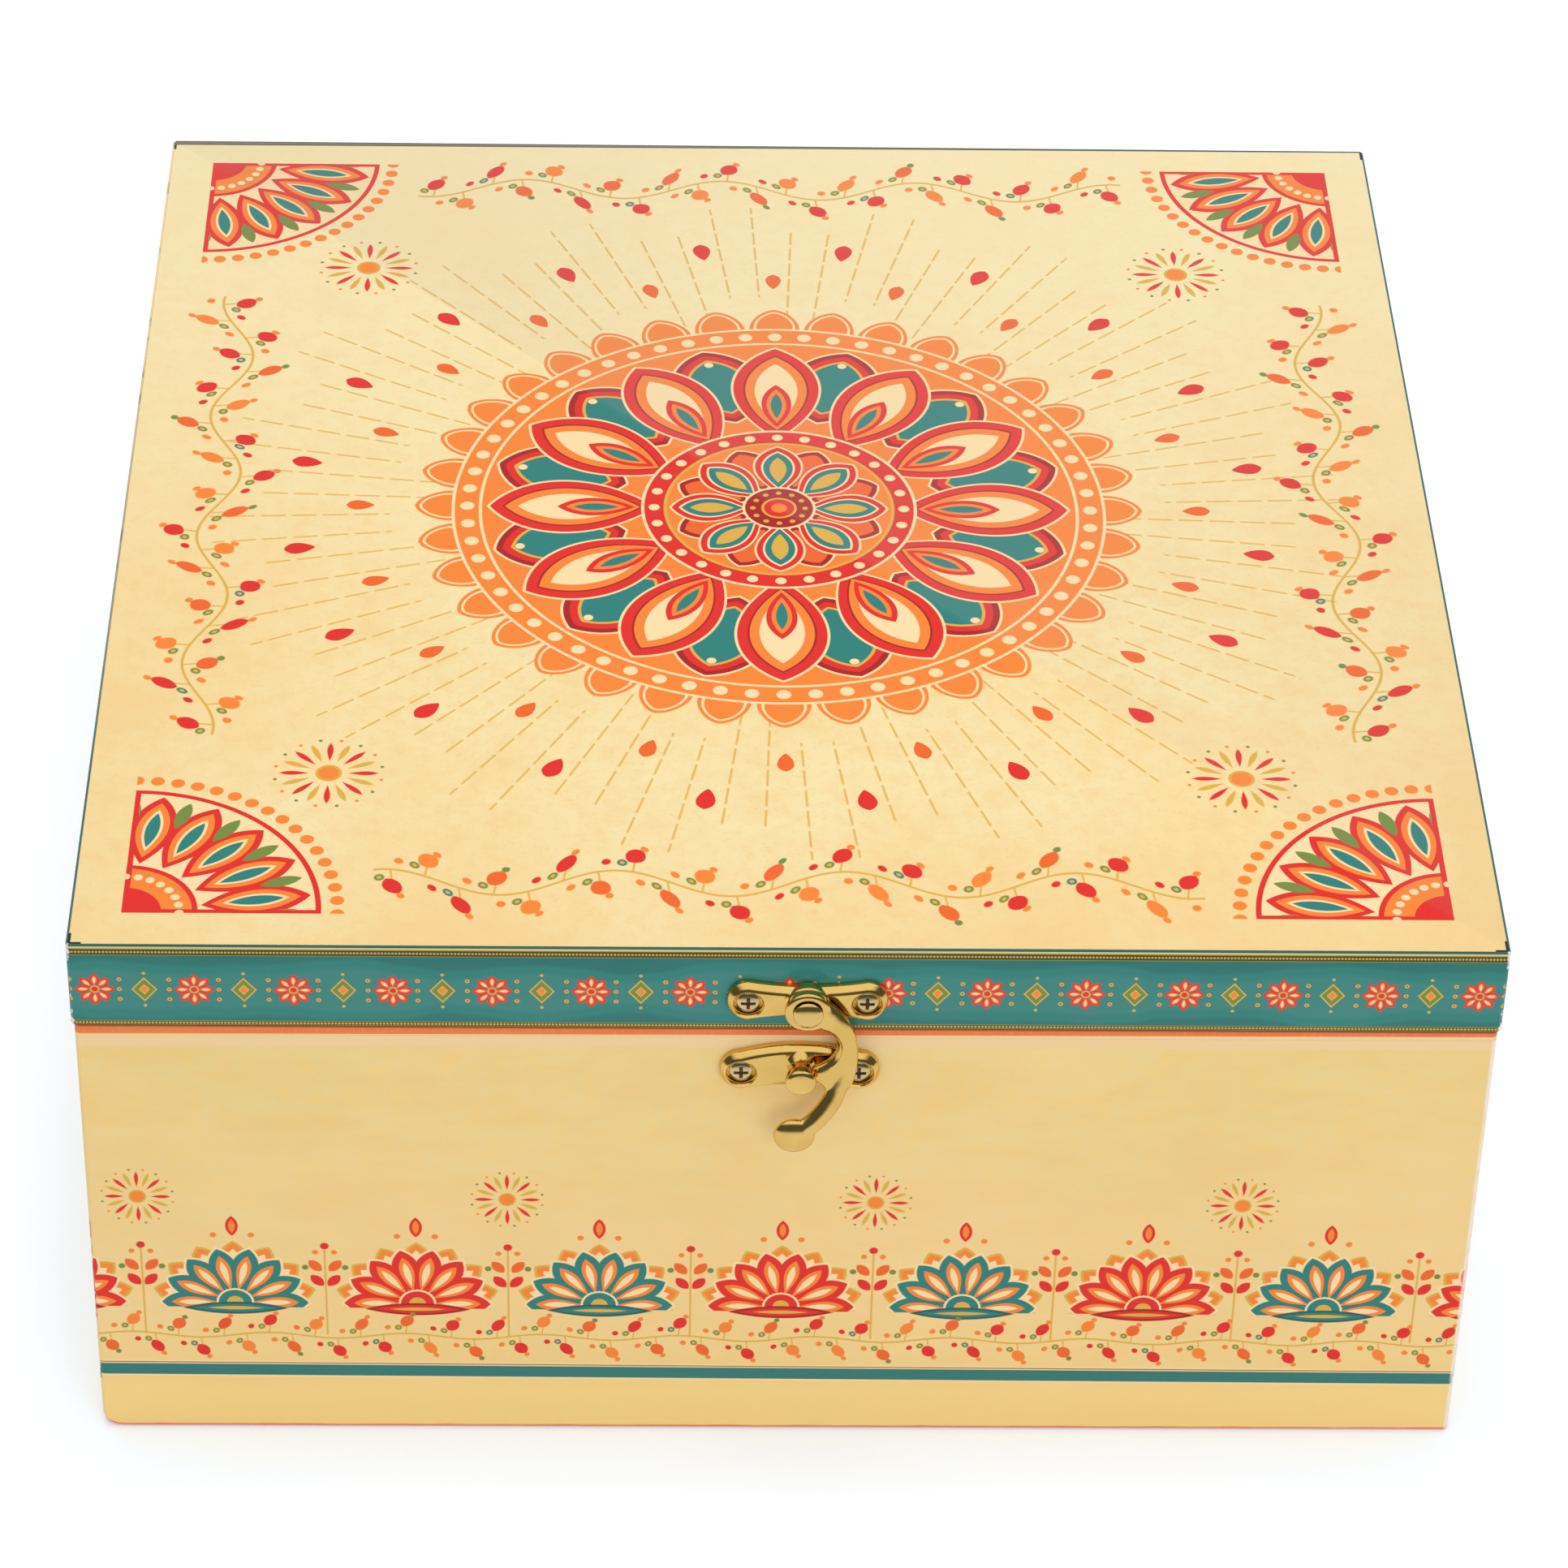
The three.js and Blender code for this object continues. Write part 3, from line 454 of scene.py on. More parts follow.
# Lotus from the outside in: a shape, its sizes, and its tones by depth
LOTUS = [
    (Round.petals, (20, 92, 3.0, 1.7, 0.0, 0.3), [(0.0, RED)]),
    (Round.petals, (20, 80, 2.7, 1.5, 0.5, 0.3), [(0.0, ORANGE_DEEP)]),
    (Round.petals, (36, 64, 5.6, 4.9, 0.5, -0.3), [(0.0, ORANGE), (0.8, PALE_FLAME), (1.3, ORANGE)]),
    (Round.disc, (62.6,), [(0.0, PALE_FLAME), (0.6, ORANGE)]),
    (Round.beads, (64, 59.6, 1.35), [(0.0, PALE_FLAME)]),
    (Round.disc, (57.4,), [(0.0, PALE_FLAME), (0.6, ORANGE)]),
    (Round.petals, (12, 43, 13.2, 9.4, 0.0, -0.15),
     [(0.0, PALE_FLAME), (0.5, RED_DEEP), (1.7, RED), (3.2, GOLD_INK), (3.8, TEAL)]),
    (Round.beads, (12, 51, 0.9, 0.0), [(0.0, PALE_FLAME)]),
    (Round.petals, (12, 39.5, 16.4, 8.8, 0.5, -0.15),
     [(0.0, PALE_FLAME), (0.5, RED), (2.4, RED_DEEP), (2.8, ORANGE), (4.6, PALE_FLAME)]),
    (Round.petals, (12, 35, 7.4, 2.9), [(0.0, RED), (1.0, ORANGE), (1.8, TEAL)]),
    (Round.disc, (26.4,), [(0.0, PALE_FLAME), (0.6, RED)]),
    (Round.beads, (28, 23.9, 1.05), [(0.0, PALE_FLAME)]),
    (Round.disc, (22.1,), [(0.0, GOLD_INK), (0.6, ORANGE)]),
    (Round.petals, (8, 13.6, 7.4, 4.9, 0.0, -0.2),
     [(0.0, PALE_FLAME), (0.4, RED_DEEP), (1.4, ORANGE_DEEP)]),
    (Round.petals, (8, 12.8, 8.2, 4.7, 0.5, -0.2),
     [(0.0, PALE_FLAME), (0.4, RED), (1.5, PALE_FLAME), (1.9, TEAL), (3.1, GOLD_INK)]),
    (Round.disc, (7.0,), [(0.0, PALE_FLAME), (0.5, RED_DEEP)]),
    (Round.beads, (12, 5.0, 0.55), [(0.0, GOLD_INK)]),
    (Round.disc, (3.4,), [(0.0, GOLD_INK), (0.5, RED), (1.9, ORANGE)]),
]
# Corner fan from the outside in: how far a ring keeps inside the fan's straight sides, then the ring
FAN = [
    (0.0, Round.beads, (64, 37.4, 1.25), [(0.0, ORANGE)]),
    (0.0, Round.disc, (34.6,), [(0.0, RED)]),
    (1.0, Round.disc, (33.6,), [(0.0, PALE_FLAME)]),
    (0.0, Round.petals, (20, 23.4, 9.6, 4.0, 0.0, -0.2),
     [(0.0, RED), (1.2, ORANGE), (2.3, PALE_FLAME), (2.8, TEAL)]),
    (1.0, Round.petals, (20, 28.6, 3.8, 1.3), [(0.0, OLIVE)]),
    (0.0, Round.disc, (13.2,), [(0.0, RED)]),
    (1.0, Round.disc, (12.2,), [(0.0, ORANGE)]),
    (0.0, Round.beads, (28, 10.0, 0.8), [(0.0, PALE_FLAME)]),
    (0.0, Round.disc, (6.9,), [(0.0, RED)]),
]


def lid_top_print():
    material, paint = new_paint("lid top print")
    x, y = paint.print_place()
    wide = abs(x)
    deep = abs(y)
    beyond_x = wide - FAN_X
    beyond_y = deep - FAN_Y
    margin = beyond_x.most(beyond_y)
    frontward = y.scaled(-1 / TOP_FADE, 0.55).most(0.1).least(1.0)
    edge = margin.scaled(1 / EDGE_FADE, 0.75).most(0.0)
    parchment(paint, CREAM, CREAM_WARM, CREAM_DEEP, edge * frontward)
    paint.lay(CREAM_LIGHT, y.scaled(1 / TOP_FADE, 0.2).most(0.0) * 0.7)
    lotus_round(Round(paint, x, y))
    corner = Round(paint, -beyond_x, -beyond_y)
    for inset, *ring in FAN:
        corner.draw([ring], margin.below(-inset))

    by_side = (beyond_x - beyond_y).above(0.0, 0.01)
    along = y * by_side + x * (1 - by_side)
    ground = paint.colour
    vine(paint, along, -margin - TOP_VINE_INSET, pitch=30.0, swing=2.6, size=TOP_VINE_SIZE)
    paint.colour = paint.mix(ground, paint.colour, abs(along).below(TOP_VINE_HALF, 0.02))
    starburst(Round(paint, wide - TOP_STAR_X, deep - TOP_STAR_Y), TOP_STAR_SIZE)
    sheet_edges(paint, x, y)
    coated_paper(paint, ripple=34.0, mottle=60.0, roughness=0.34)
    return material


def lotus_round(motif):
    """Rings of petals inside each other, with dashed rays and small leaves round them."""
    ray = abs(motif.sector(RAY_COUNT, 0.0, motif.radius)).below(0.2, 0.26)
    reach = motif.radius - (motif.angle * RAY_SWINGS).wave() * RAY_SWING
    dash = (motif.radius * DASHES_PER_MM).part().below(0.8, 0.1)
    motif.paint.lay(GOLD_INK, ray * dash * reach.within(*RAY_ENDS, 0.4) * 0.9)
    motif.draw(LOTUS)


# Marks at the lid sheet's edges: their width, and their lengths along the front, sides and back corners
MARK_WIDTH = 0.45
MARK_ALONG = 2.3
MARK_FRONT = 2.9
MARK_BACK = 3.2
BACK_STRIP = 0.75
BACK_SKEW = 0.0044


def sheet_edges(paint, x, y):
    """Dark trimming marks in the corners, and a brown strip along the back that narrows to the right."""
    side = abs(x) - (LID_HALF.x - EDGE_SHOWN) / MM
    front = -y - (LID_HALF.y - EDGE_SHOWN) / MM
    back = y - (LID_HALF.y - EDGE_SHOWN) / MM
    by_side = side.above(-MARK_WIDTH)
    marks = (front.above(-MARK_WIDTH) * side.above(-MARK_ALONG)).most(by_side * front.above(-MARK_FRONT))
    paint.lay(CROP_BLACK, marks.most(by_side * back.above(-MARK_BACK)))
    strip = back + x.scaled(-BACK_SKEW, BACK_STRIP)
    paint.lay(BACK_BROWN, strip.above(0.0))
    paint.lay(OLIVE_DARK, abs(strip).below(0.16))


# Base sides: a row of lotus blooms over a vine, sparks above, and a stripe near the foot
BLOOM_PITCH = 33.0
BLOOM_RISE = 30.5
SPRIG_RISE = 25.0
SPARK_RISE = 56.0
SPARK_SIZE = 6.6
SIDE_VINE_RISE = 22.4
SIDE_VINE_SIZE = 0.92
SIDE_FADE = 60.0
PEACH_ZONE = (18.0, 62.0)
PEACH_SOFT = 26.0
FOOT_ZONE = 12.0
RIM_ZONE = 92.2
STRIPE_LOW = 12.4
STRIPE_HIGH = 15.1
FOOT_EDGE = 0.85
PRINT_TILT = 0.0056
RIM_COVER = 0.45 * MM
RIM_SKEW = 0.003
BARE_WIDTH = 0.7 * MM


def side_print():
    material, paint = new_paint("base side print")
    along, up = paint.print_place()
    height = along.scaled(PRINT_TILT) + up
    footward = up.scaled(-1 / SIDE_FADE, 0.55).most(0.0)
    parchment(paint, SIDE_CREAM, CREAM_WARM, SIDE_CREAM_DEEP, footward)
    streaks = paint.noise(115.0, detail=5.0, roughness=0.65, stretch=(0.4, 0.4, 1.0))
    paint.lay(SIDE_STREAK, streaks.above(0.52, 0.3) * 0.5)
    paint.lay(PEACH, up.within(*PEACH_ZONE, PEACH_SOFT) * 0.4)
    paint.lay(FOOT_CREAM, up.below(FOOT_ZONE, FOOT_ZONE / 2) * 0.75)
    paint.lay(RIM_FADE, (up - along * RIM_SKEW).above(RIM_ZONE, 0.8) * 0.9)

    bloom_row(paint, along, height - BLOOM_RISE)
    sprig(paint, along.repeated(BLOOM_PITCH), height - SPRIG_RISE)
    starburst(Round(paint, along.repeated(2 * BLOOM_PITCH, 0.25), height - SPARK_RISE), SPARK_SIZE)
    vine(paint, along, height - SIDE_VINE_RISE, pitch=27.0, swing=0.7, size=SIDE_VINE_SIZE)

    paint.lay(PALE_FLAME, height.within(STRIPE_LOW - 0.4, STRIPE_HIGH + 0.8))
    paint.lay(BROWN_RULE, height.within(STRIPE_HIGH + 0.25, STRIPE_HIGH + 0.5))
    paint.lay(STRIPE_TEAL, height.within(STRIPE_LOW, STRIPE_HIGH))
    paint.lay(FOOT_ORANGE, (up + paint.noise(120.0) * 0.5).below(FOOT_EDGE, 0.3))

    x, y, _ = paint.split(paint.place())
    bare = x.above(BASE_HIGH.x - BARE_WIDTH, 0.5 * MM) * y.below(BASE_LOW.y + 0.5 * MM, 0.1 * MM)
    paint.lay(BARE_FOLD, bare * paint.noise(160.0).above(0.3, 0.4) * 0.85)
    coated_paper(paint, ripple=30.0, mottle=50.0, roughness=0.36)
    return material


def bloom_row(paint, along, rise):
    """Lotus blooms, red and teal in turn, each with a cradle below it and a drop above."""
    across = along.repeated(BLOOM_PITCH, 0.5)
    odd = along.scaled(0.5 / BLOOM_PITCH, 0.25).part().above(0.5, 0.01)
    bloom = paint.mix(RED, TEAL, odd)
    Round(paint, across, rise).draw([
        (Round.petals, (14, 8.6, 6.4, 2.7, 0.0, -0.1), [(0.0, GOLD_INK), (0.4, ORANGE), (1.3, PALE_FLAME)]),
        (Round.petals, (14, 7.2, 6.6, 2.6, 0.5, -0.1),
         [(0.0, PALE_FLAME), (0.35, bloom), (1.4, ORANGE), (2.0, PALE_FLAME)]),
        (Round.disc, (3.4,), [(0.0, PALE_FLAME), (0.4, bloom), (1.9, GOLD_INK)]),
    ], rise.above(-1.2))
    cradle = lens(paint, rise + 1.4, across, 9.6, 1.5)
    paint.nest(cradle, [(0.0, paint.mix(RED_DEEP, TEAL_DEEP, odd)), (0.5, bloom), (1.1, GOLD_INK)])
    drop = lens(paint, across, rise - 18.6, 2.4, 1.15)
    paint.nest(drop, [(0.0, RED), (0.55, ORANGE)])
    paint.lay(ORANGE, paint.dot(abs(across) - 3.4, rise - 16.4, 0.6).below(0))


# Lid band: teal with painted reflections, darker in wavy pools towards both edges and paler along the
# middle, small rosettes and lozenges in turn, and beaded rules along both edges
BAND_PITCH = 17.2
BAND_MIDDLE = 105.2
REFLECTION_MIDDLE = 105.0
BEAD_PITCH = 0.6
BEAD_RULES = [(112.95, 114.1), (97.35, 98.05)]
GOLD_RULE = (114.3, 114.72)


def band_print():
    material, paint = new_paint("lid band print")
    along, up = paint.print_place()
    paint.lay(TEAL)
    # Painted reflection: the band's gloss drawn as wavy darker pools towards its top and bottom edges and a
    # paler middle
    reflection_pools = paint.noise(38.0, stretch=(1.0, 1.0, 0.3))
    reflection_reach = abs(up - REFLECTION_MIDDLE) + reflection_pools * 9
    paint.lay(TEAL_DEEP, reflection_reach.above(10.4, 0.8) * 0.45)
    paint.lay(TEAL_PAINTED_REFLECTION, reflection_reach.below(8.4, 1.2) * 0.5)
    band_motifs(paint, along, up - BAND_MIDDLE)

    for low, high in BEAD_RULES:
        paint.lay(OLIVE, up.within(low - 0.2, high + 0.2, 0.1))
        paint.lay(OLIVE_DARK, up.within(low, high, 0.1))
        bead = paint.dot(along.repeated(BEAD_PITCH), up - (low + high) / 2, 0.34 * BEAD_PITCH)
        paint.lay(GOLD_INK, bead.below(0, FINE))
    paint.lay(PALE_GOLD, up.within(*GOLD_RULE, 0.1))
    paint.lay(TEAL_DEEP, up.above(GOLD_RULE[1], 0.08))
    band_wear(paint)

    swell = paint.noise(70.0, detail=1.0, roughness=0.4, stretch=(1.0, 1.0, 2.2))
    gloss = paint.noise(90.0).scaled(0.1, 0.16)
    paint.surface(Roughness=gloss, Normal=paint.bump(swell, 0.5 * MM), Specular_IOR_Level=0.4)
    return material


def band_motifs(paint, along, rise):
    """Rosettes, and half way between them lozenges with dots round each."""
    Round(paint, along.repeated(BAND_PITCH, 0.5), rise).draw([
        (Round.petals, (8, 1.95, 1.5, 0.78, 0.5, -0.1), [(0.0, RED), (0.34, ORANGE), (0.55, PALE_FLAME)]),
        (Round.disc, (0.85,), [(0.0, GOLD_INK), (0.3, RED)]),
    ])
    half_way = along.repeated(BAND_PITCH)
    lozenge = abs(half_way) * 1.2 + abs(rise)
    paint.nest(lozenge - 2.7, [(0.0, GOLD_INK), (0.4, OLIVE), (1.5, GOLD_INK), (1.9, ORANGE)])
    dots = paint.dot(abs(half_way) - 4.3, abs(abs(rise) - 1.1) - 1.1, 0.42)
    paint.nest(dots, [(0.0, GOLD_INK), (0.24, RED)])
    paint.lay(GOLD_INK, paint.dot(half_way, abs(rise) - 3.6, 0.3).below(0))


def band_wear(paint):
    """The left fold rubbed pale towards the back, and white paper frayed at the lid's corners."""
    x, y, z = paint.split(paint.place())
    left_fold = x.below(-LID_HALF.x + 0.5 * MM, 0.1 * MM) * z.above(LID_HIGH.z - 0.5 * MM, 0.1 * MM)
    rubbed = paint.noise(220.0).above(0.3, 0.3) * y.above(0.0, 0.16)
    paint.lay(CREAM_WARM, left_fold * rubbed)
    corner = paint.length(LID_HALF.x - abs(x), LID_HALF.y - abs(y))
    ends = abs(z - LID_MIDDLE.z).scaled(0.07)
    fray = paint.noise(420.0, detail=3.0, roughness=0.7).scaled(2.4 * MM, -1.3 * MM)
    paint.lay(WHITE_PAPER, (corner - ends - fray).below(0.0, 0.3 * MM))


def lining_paper():
    material, paint = new_paint("orange lining paper")
    paint.lay(tone(240, 132, 66))
    paint.lay(ORANGE_DEEP, paint.noise(40.0, detail=4.0, roughness=0.6).above(0.5, 0.5) * 0.6)
    fibres = paint.noise(1600.0, roughness=0.7, stretch=(1.0, 1.0, 0.4))
    paint.lay(tone(248, 164, 98), fibres.above(0.6, 0.2) * 0.3)
    x, y, z = paint.split(paint.place())
    turned = 0.4 * MM
    soft = 0.1 * MM
    outside = abs(x).above(BASE_HIGH.x - turned, soft).most(abs(y).above(-BASE_LOW.y - turned, soft))
    above_print = z - x * RIM_SKEW - (PRINT_TOP + RIM_COVER)
    covered = above_print.below(0.0, soft) * z.above(PRINT_TOP - MM, soft)
    paint.lay(RIM_FADE, outside * covered)
    # Painted shadow: a dark line along the top of the rim's outside, just under the lid's edge
    paint.lay(RIM_PAINTED_SHADOW, outside * z.above(BASE_HIGH.z - 0.35 * MM, turned) * 0.8)
    paint.surface(Roughness=fibres.scaled(0.2, 0.5), Normal=paint.bump(fibres, 0.04 * MM))
    return material


def fibreboard():
    material, paint = new_paint("fibreboard")
    paint.lay(tone(183, 146, 102))
    fibres = paint.noise(1800.0, detail=3.0, roughness=0.7)
    paint.lay(tone(150, 112, 72), fibres.above(0.5, 0.3) * 0.7)
    paint.surface(Roughness=fibres.scaled(0.15, 0.75), Normal=paint.bump(fibres, 0.1 * MM))
    return material


def divider_board():
    material, paint = new_paint("cream-papered greyboard")
    paint.lay(tone(236, 214, 168))
    paint.lay(tone(226, 196, 142), paint.noise(60.0, detail=4.0, roughness=0.6).above(0.5, 0.5) * 0.6)
    fibres = paint.noise(1500.0, detail=3.0, roughness=0.7)
    paint.lay(tone(204, 172, 122), fibres.above(0.64, 0.12) * 0.4)
    paint.surface(Roughness=fibres.scaled(0.2, 0.6), Normal=paint.bump(fibres, 0.05 * MM))
    return material


def metal(name, bright, dull, roughness, ripple):
    """A polished metal with soft tarnish and the faint ripple of a cast or pressed face."""
    material, paint = new_paint(name)
    paint.lay(bright)
    paint.lay(dull, paint.noise(160.0).above(0.55, 0.5) * 0.5)
    polish = paint.noise(700.0).scaled(0.06, roughness)
    paint.surface(Metallic=1.0, Roughness=polish, Normal=paint.bump(paint.noise(240.0, detail=1.0), ripple))
    return material


def screw_metal():
    """Plated steel, with grime in the cross recess."""
    material, paint = new_paint("plated screw steel")
    paint.lay(tone(226, 202, 152))
    paint.lay(tone(190, 164, 108), paint.noise(300.0).above(0.55, 0.4) * 0.5)
    grime = paint.field("ShaderNodeAttribute", {"attribute_name": "recess"}, (), "Fac")
    paint.lay(tone(112, 84, 54), grime)
    polish = paint.noise(900.0).scaled(0.08, 0.16) + grime * 0.4
    paint.surface(Metallic=grime.scaled(-0.8, 1.0), Roughness=polish)
    return material


def jar_glass():
    material, paint = new_paint("clear jar glass")
    paint.lay(tone(240, 249, 246))
    ripple = paint.noise(45.0, stretch=(1.0, 1.0, 0.6))
    paint.surface(Roughness=ripple.scaled(0.02, 0.01), Normal=paint.bump(ripple, 0.2 * MM),
                  Transmission_Weight=1.0, IOR=1.5)
    return material


def liner_foam():
    material, paint = new_paint("cap liner foam")
    paint.lay(tone(240, 237, 230))
    cells = paint.noise(2200.0, roughness=0.6)
    paint.lay(tone(222, 218, 208), cells.above(0.55, 0.2) * 0.6)
    paint.surface(Roughness=cells.scaled(0.2, 0.6), Normal=paint.bump(cells, 0.08 * MM))
    return material


# Meshes
CREASE = 35.0
BOARD_CREASE = 50.0
CAST_CREASE = 40.0
ON_AXIS = 1e-9


def make_mesh(name, vertices, faces, crease=CREASE):
    mesh = bpy.data.meshes.new(name)
    mesh.from_pydata([tuple(v) for v in vertices], [], faces)
    mesh.validate()
    soften(mesh, crease)
    return mesh


def soften(mesh, crease):
    """Smooth shading, with creases where faces meet at a steep angle."""
    mesh.polygons.foreach_set("use_smooth", [True] * len(mesh.polygons))
    mesh.set_sharp_from_angle(angle=math.radians(crease))
    mesh.update()


KNOCK_SPOT = Vector((BASE_LOW.x, BASE_LOW.y, BASE_BOTTOM))
KNOCK_REACH = 3.2 * MM
KNOCK_DEPTH = 1.1 * MM


def knock_corner(mesh):
    """Pushes in the base's front left foot, as a dropped box shows it."""
    inward = Vector((1.0, 1.0, 0.9)).normalized()
    for vertex in mesh.vertices:
        near = max(0.0, 1 - (vertex.co - KNOCK_SPOT).length / KNOCK_REACH)
        vertex.co += inward * KNOCK_DEPTH * near ** 1.5


def add_piece(name, mesh, material, body, nodes=None):
    """Shows a mesh in place of the frame's nodes, or of the one node that has its name."""
    mesh.materials.clear()
    mesh.materials.append(material)
    piece = workpiece(name, mesh)
    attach(piece, body)
    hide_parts(*(nodes or [name]))


def workpiece(name, mesh):
    work = bpy.data.objects.new(name, mesh)
    bpy.context.scene.collection.objects.link(work)
    return work


def settle(work):
    """Turns a workpiece's modifiers into its mesh."""
    shown = work.evaluated_get(bpy.context.evaluated_depsgraph_get())
    mesh = bpy.data.meshes.new_from_object(shown)
    work.modifiers.clear()
    work.data = mesh


def combine(work, tool_mesh, operation):
    tool = workpiece("tool", tool_mesh)
    step = work.modifiers.new("combine", "BOOLEAN")
    step.operation = operation
    step.solver = "EXACT"
    step.object = tool
    settle(work)
    bpy.data.objects.remove(tool)


def take_mesh(work, crease=CAST_CREASE):
    mesh = work.data
    bpy.data.objects.remove(work)
    soften(mesh, crease)
    return mesh


def lathe(name, profile, sides, crease=CREASE, ripple=None):
    """A turned piece about Z from a profile of (radius, height) that starts and ends on the axis."""
    vertices = []
    rings = []
    for row, (radius, height) in enumerate(profile):
        if radius < ON_AXIS:
            rings.append([len(vertices)] * sides)
            vertices.append((0.0, 0.0, height))
            continue
        rings.append(list(range(len(vertices), len(vertices) + sides)))
        for side in range(sides):
            angle = TURN * side / sides
            reach = radius + (ripple(row, angle) if ripple else 0.0)
            vertices.append((reach * math.cos(angle), reach * math.sin(angle), height))
    faces = []
    for low, high in zip(rings, rings[1:]):
        for side in range(sides):
            after = (side + 1) % sides
            face = list(dict.fromkeys([low[side], low[after], high[after], high[side]]))
            if len(face) > 2:
                faces.append(face)
    return make_mesh(name, vertices, faces, crease)


def arc(centre, radius, start, stop, steps=ARC_STEPS):
    """Points of (radius, height) on an arc, angles in degrees from the outward direction."""
    points = []
    for step in range(steps + 1):
        angle = math.radians(start + (stop - start) * step / steps)
        points.append((centre[0] + radius * math.cos(angle), centre[1] + radius * math.sin(angle)))
    return points


def row_pairs(rows, closed=False):
    """Which rows of a skin join: each with the next, and the last with the first where it closes."""
    return [(row, row + 1) for row in range(rows - 1)] + ([(rows - 1, 0)] if closed else [])


def skin(pairs, count):
    """Faces between rings of as many points each, for the rows that join in pairs."""
    faces = []
    for low, high in pairs:
        foot = low * count
        head = high * count
        for here in range(count):
            after = (here + 1) % count
            faces.append([foot + here, foot + after, head + after, head + here])
    return faces


def ring_face(row, count, facing_up):
    """The face that closes a skin at one of its rows."""
    ring = list(range(row * count, (row + 1) * count))
    return ring if facing_up else ring[::-1]


# Which way each side of a box runs and faces, round from the front
SIDES = [
    (Vector((1, 0, 0)), Vector((0, -1, 0))),
    (Vector((0, 1, 0)), Vector((1, 0, 0))),
    (Vector((-1, 0, 0)), Vector((0, 1, 0))),
    (Vector((0, -1, 0)), Vector((-1, 0, 0))),
]
LEAST_CORNER = 0.25 * MM


def round_corners(half, corner, out):
    """One turn round a rectangle, set out by out: points, and each point's place along its side."""
    radius = max(corner + out, LEAST_CORNER)
    inward = corner + out - radius
    turn = []
    for number, (along, outward) in enumerate(SIDES):
        length, depth = (half.x, half.y) if number % 2 == 0 else (half.y, half.x)
        straight = length - corner
        centre = straight + inward
        face = depth - corner + inward
        side = []
        for step in range(ARC_STEPS):
            angle = math.radians(45 - 45 * step / ARC_STEPS)
            reach = centre + radius * math.sin(angle)
            side.append((-reach, face + radius * math.cos(angle), -straight - corner * angle))
        shares = [2 * step / SIDE_STEPS - 1 for step in range(SIDE_STEPS + 1)]
        shares += [sign * (1 - gap * MM / straight) for sign in (-1, 1) for gap in NEAR_CORNER]
        for share in sorted(shares):
            side.append((share * centre, face + radius, share * straight))
        side += [(-reach, away, -place) for reach, away, place in reversed(side[:ARC_STEPS])]
        turn.append([(along * reach + outward * away, place) for reach, away, place in side])
    return turn


def swept(name, middle, half, corner, profile, caps=(), crease=CREASE, flat=False):
    """A sheet swept round a rectangle. profile holds (out, height); caps are rows closed by a flat face.
    Print places run along and up each side, or lie in plan on caps and flat sheets."""
    turns = [round_corners(half, corner, out) for out, _ in profile]
    heights = [height for _, height in profile]
    vertices = []
    for turn, height in zip(turns, heights):
        for side in turn:
            vertices += [(middle.x + point.x, middle.y + point.y, height) for point, _ in side[:-1]]
    count = sum(len(side) - 1 for side in turns[0])
    pairs = row_pairs(len(turns), not caps)
    walls = skin(pairs, count)
    ends = [ring_face(row, count, facing_up) for row, facing_up in caps]
    faces = walls + ends
    prints = [vertices[index][:2] for face in faces for index in face]
    if not flat:
        upright = []
        for low, high in pairs:
            for side in turns[0]:
                for (_, here), (_, there) in zip(side, side[1:]):
                    upright += [(here, heights[low]), (there, heights[low])]
                    upright += [(there, heights[high]), (here, heights[high])]
        prints[:len(upright)] = upright
    mesh = bpy.data.meshes.new(name)
    mesh.from_pydata(vertices, [], faces)
    layer = mesh.uv_layers.new(name="Print")
    layer.data.foreach_set("uv", [number / MM for place in prints for number in place])
    soften(mesh, crease)
    return mesh


SHEET_CREASE = 60.0
FOOT_ROWS = (1.0, 2.0, 3.5, 5.5, 9.0)


def make_papers(paints):
    top = LID_HIGH.z
    bottom = LID_LOW.z
    turn_under = LID_HIGH.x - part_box("lid_lining")[1][0] - PAPER
    band = [(-turn_under, bottom)]
    band += arc((-FOLD, bottom + FOLD), FOLD, -90, 0)
    band += arc((-FOLD, top - FOLD), FOLD, 0, 90)
    band += [(-EDGE_SHOWN, top), (-EDGE_SHOWN, top - PAPER), (-PAPER, top - PAPER)]
    band += [(-PAPER, bottom + PAPER), (-turn_under, bottom + PAPER)]
    mesh = swept("lid band", LID_MIDDLE, LID_HALF, BOX_CORNER, band)
    add_piece("lid_band", mesh, paints["band"], "lid", ["lid_band_print"])

    sheet = [(-EDGE_SHOWN, top - PAPER), (-EDGE_SHOWN, top - SOFT_EDGE), (-EDGE_SHOWN - SOFT_EDGE, top)]
    caps = [(0, False), (2, True)]
    mesh = swept("lid top sheet", LID_MIDDLE, LID_HALF, BOX_CORNER, sheet, caps, SHEET_CREASE, True)
    add_piece("lid_top_sheet", mesh, paints["top"], "lid", ["lid_top_print"])

    foot = BASE_BOTTOM + PAPER
    wrap = [(0.0, foot)] + [(0.0, BASE_BOTTOM + height * MM) for height in FOOT_ROWS]
    wrap += [(0.0, PRINT_TOP - SOFT_EDGE), (-SOFT_EDGE, PRINT_TOP), (-PAPER, PRINT_TOP), (-PAPER, foot)]
    mesh = swept("base side sheets", BASE_MIDDLE, BASE_HALF, BOX_CORNER, wrap)
    knock_corner(mesh)
    prints = [f"base_{side}_print" for side in ("front", "back", "left", "right")]
    add_piece("base_side_sheets", mesh, paints["side"], "base", prints)

    under = [(-FOLD, BASE_BOTTOM), (-SOFT_EDGE, BASE_BOTTOM + SOFT_EDGE), (0.0, foot)]
    mesh = swept("base bottom paper", BASE_MIDDLE, BASE_HALF, BOX_CORNER, under, caps)
    knock_corner(mesh)
    add_piece("base_bottom_paper", mesh, paints["lining"], "base")


RIM_CURL = 0.25 * MM


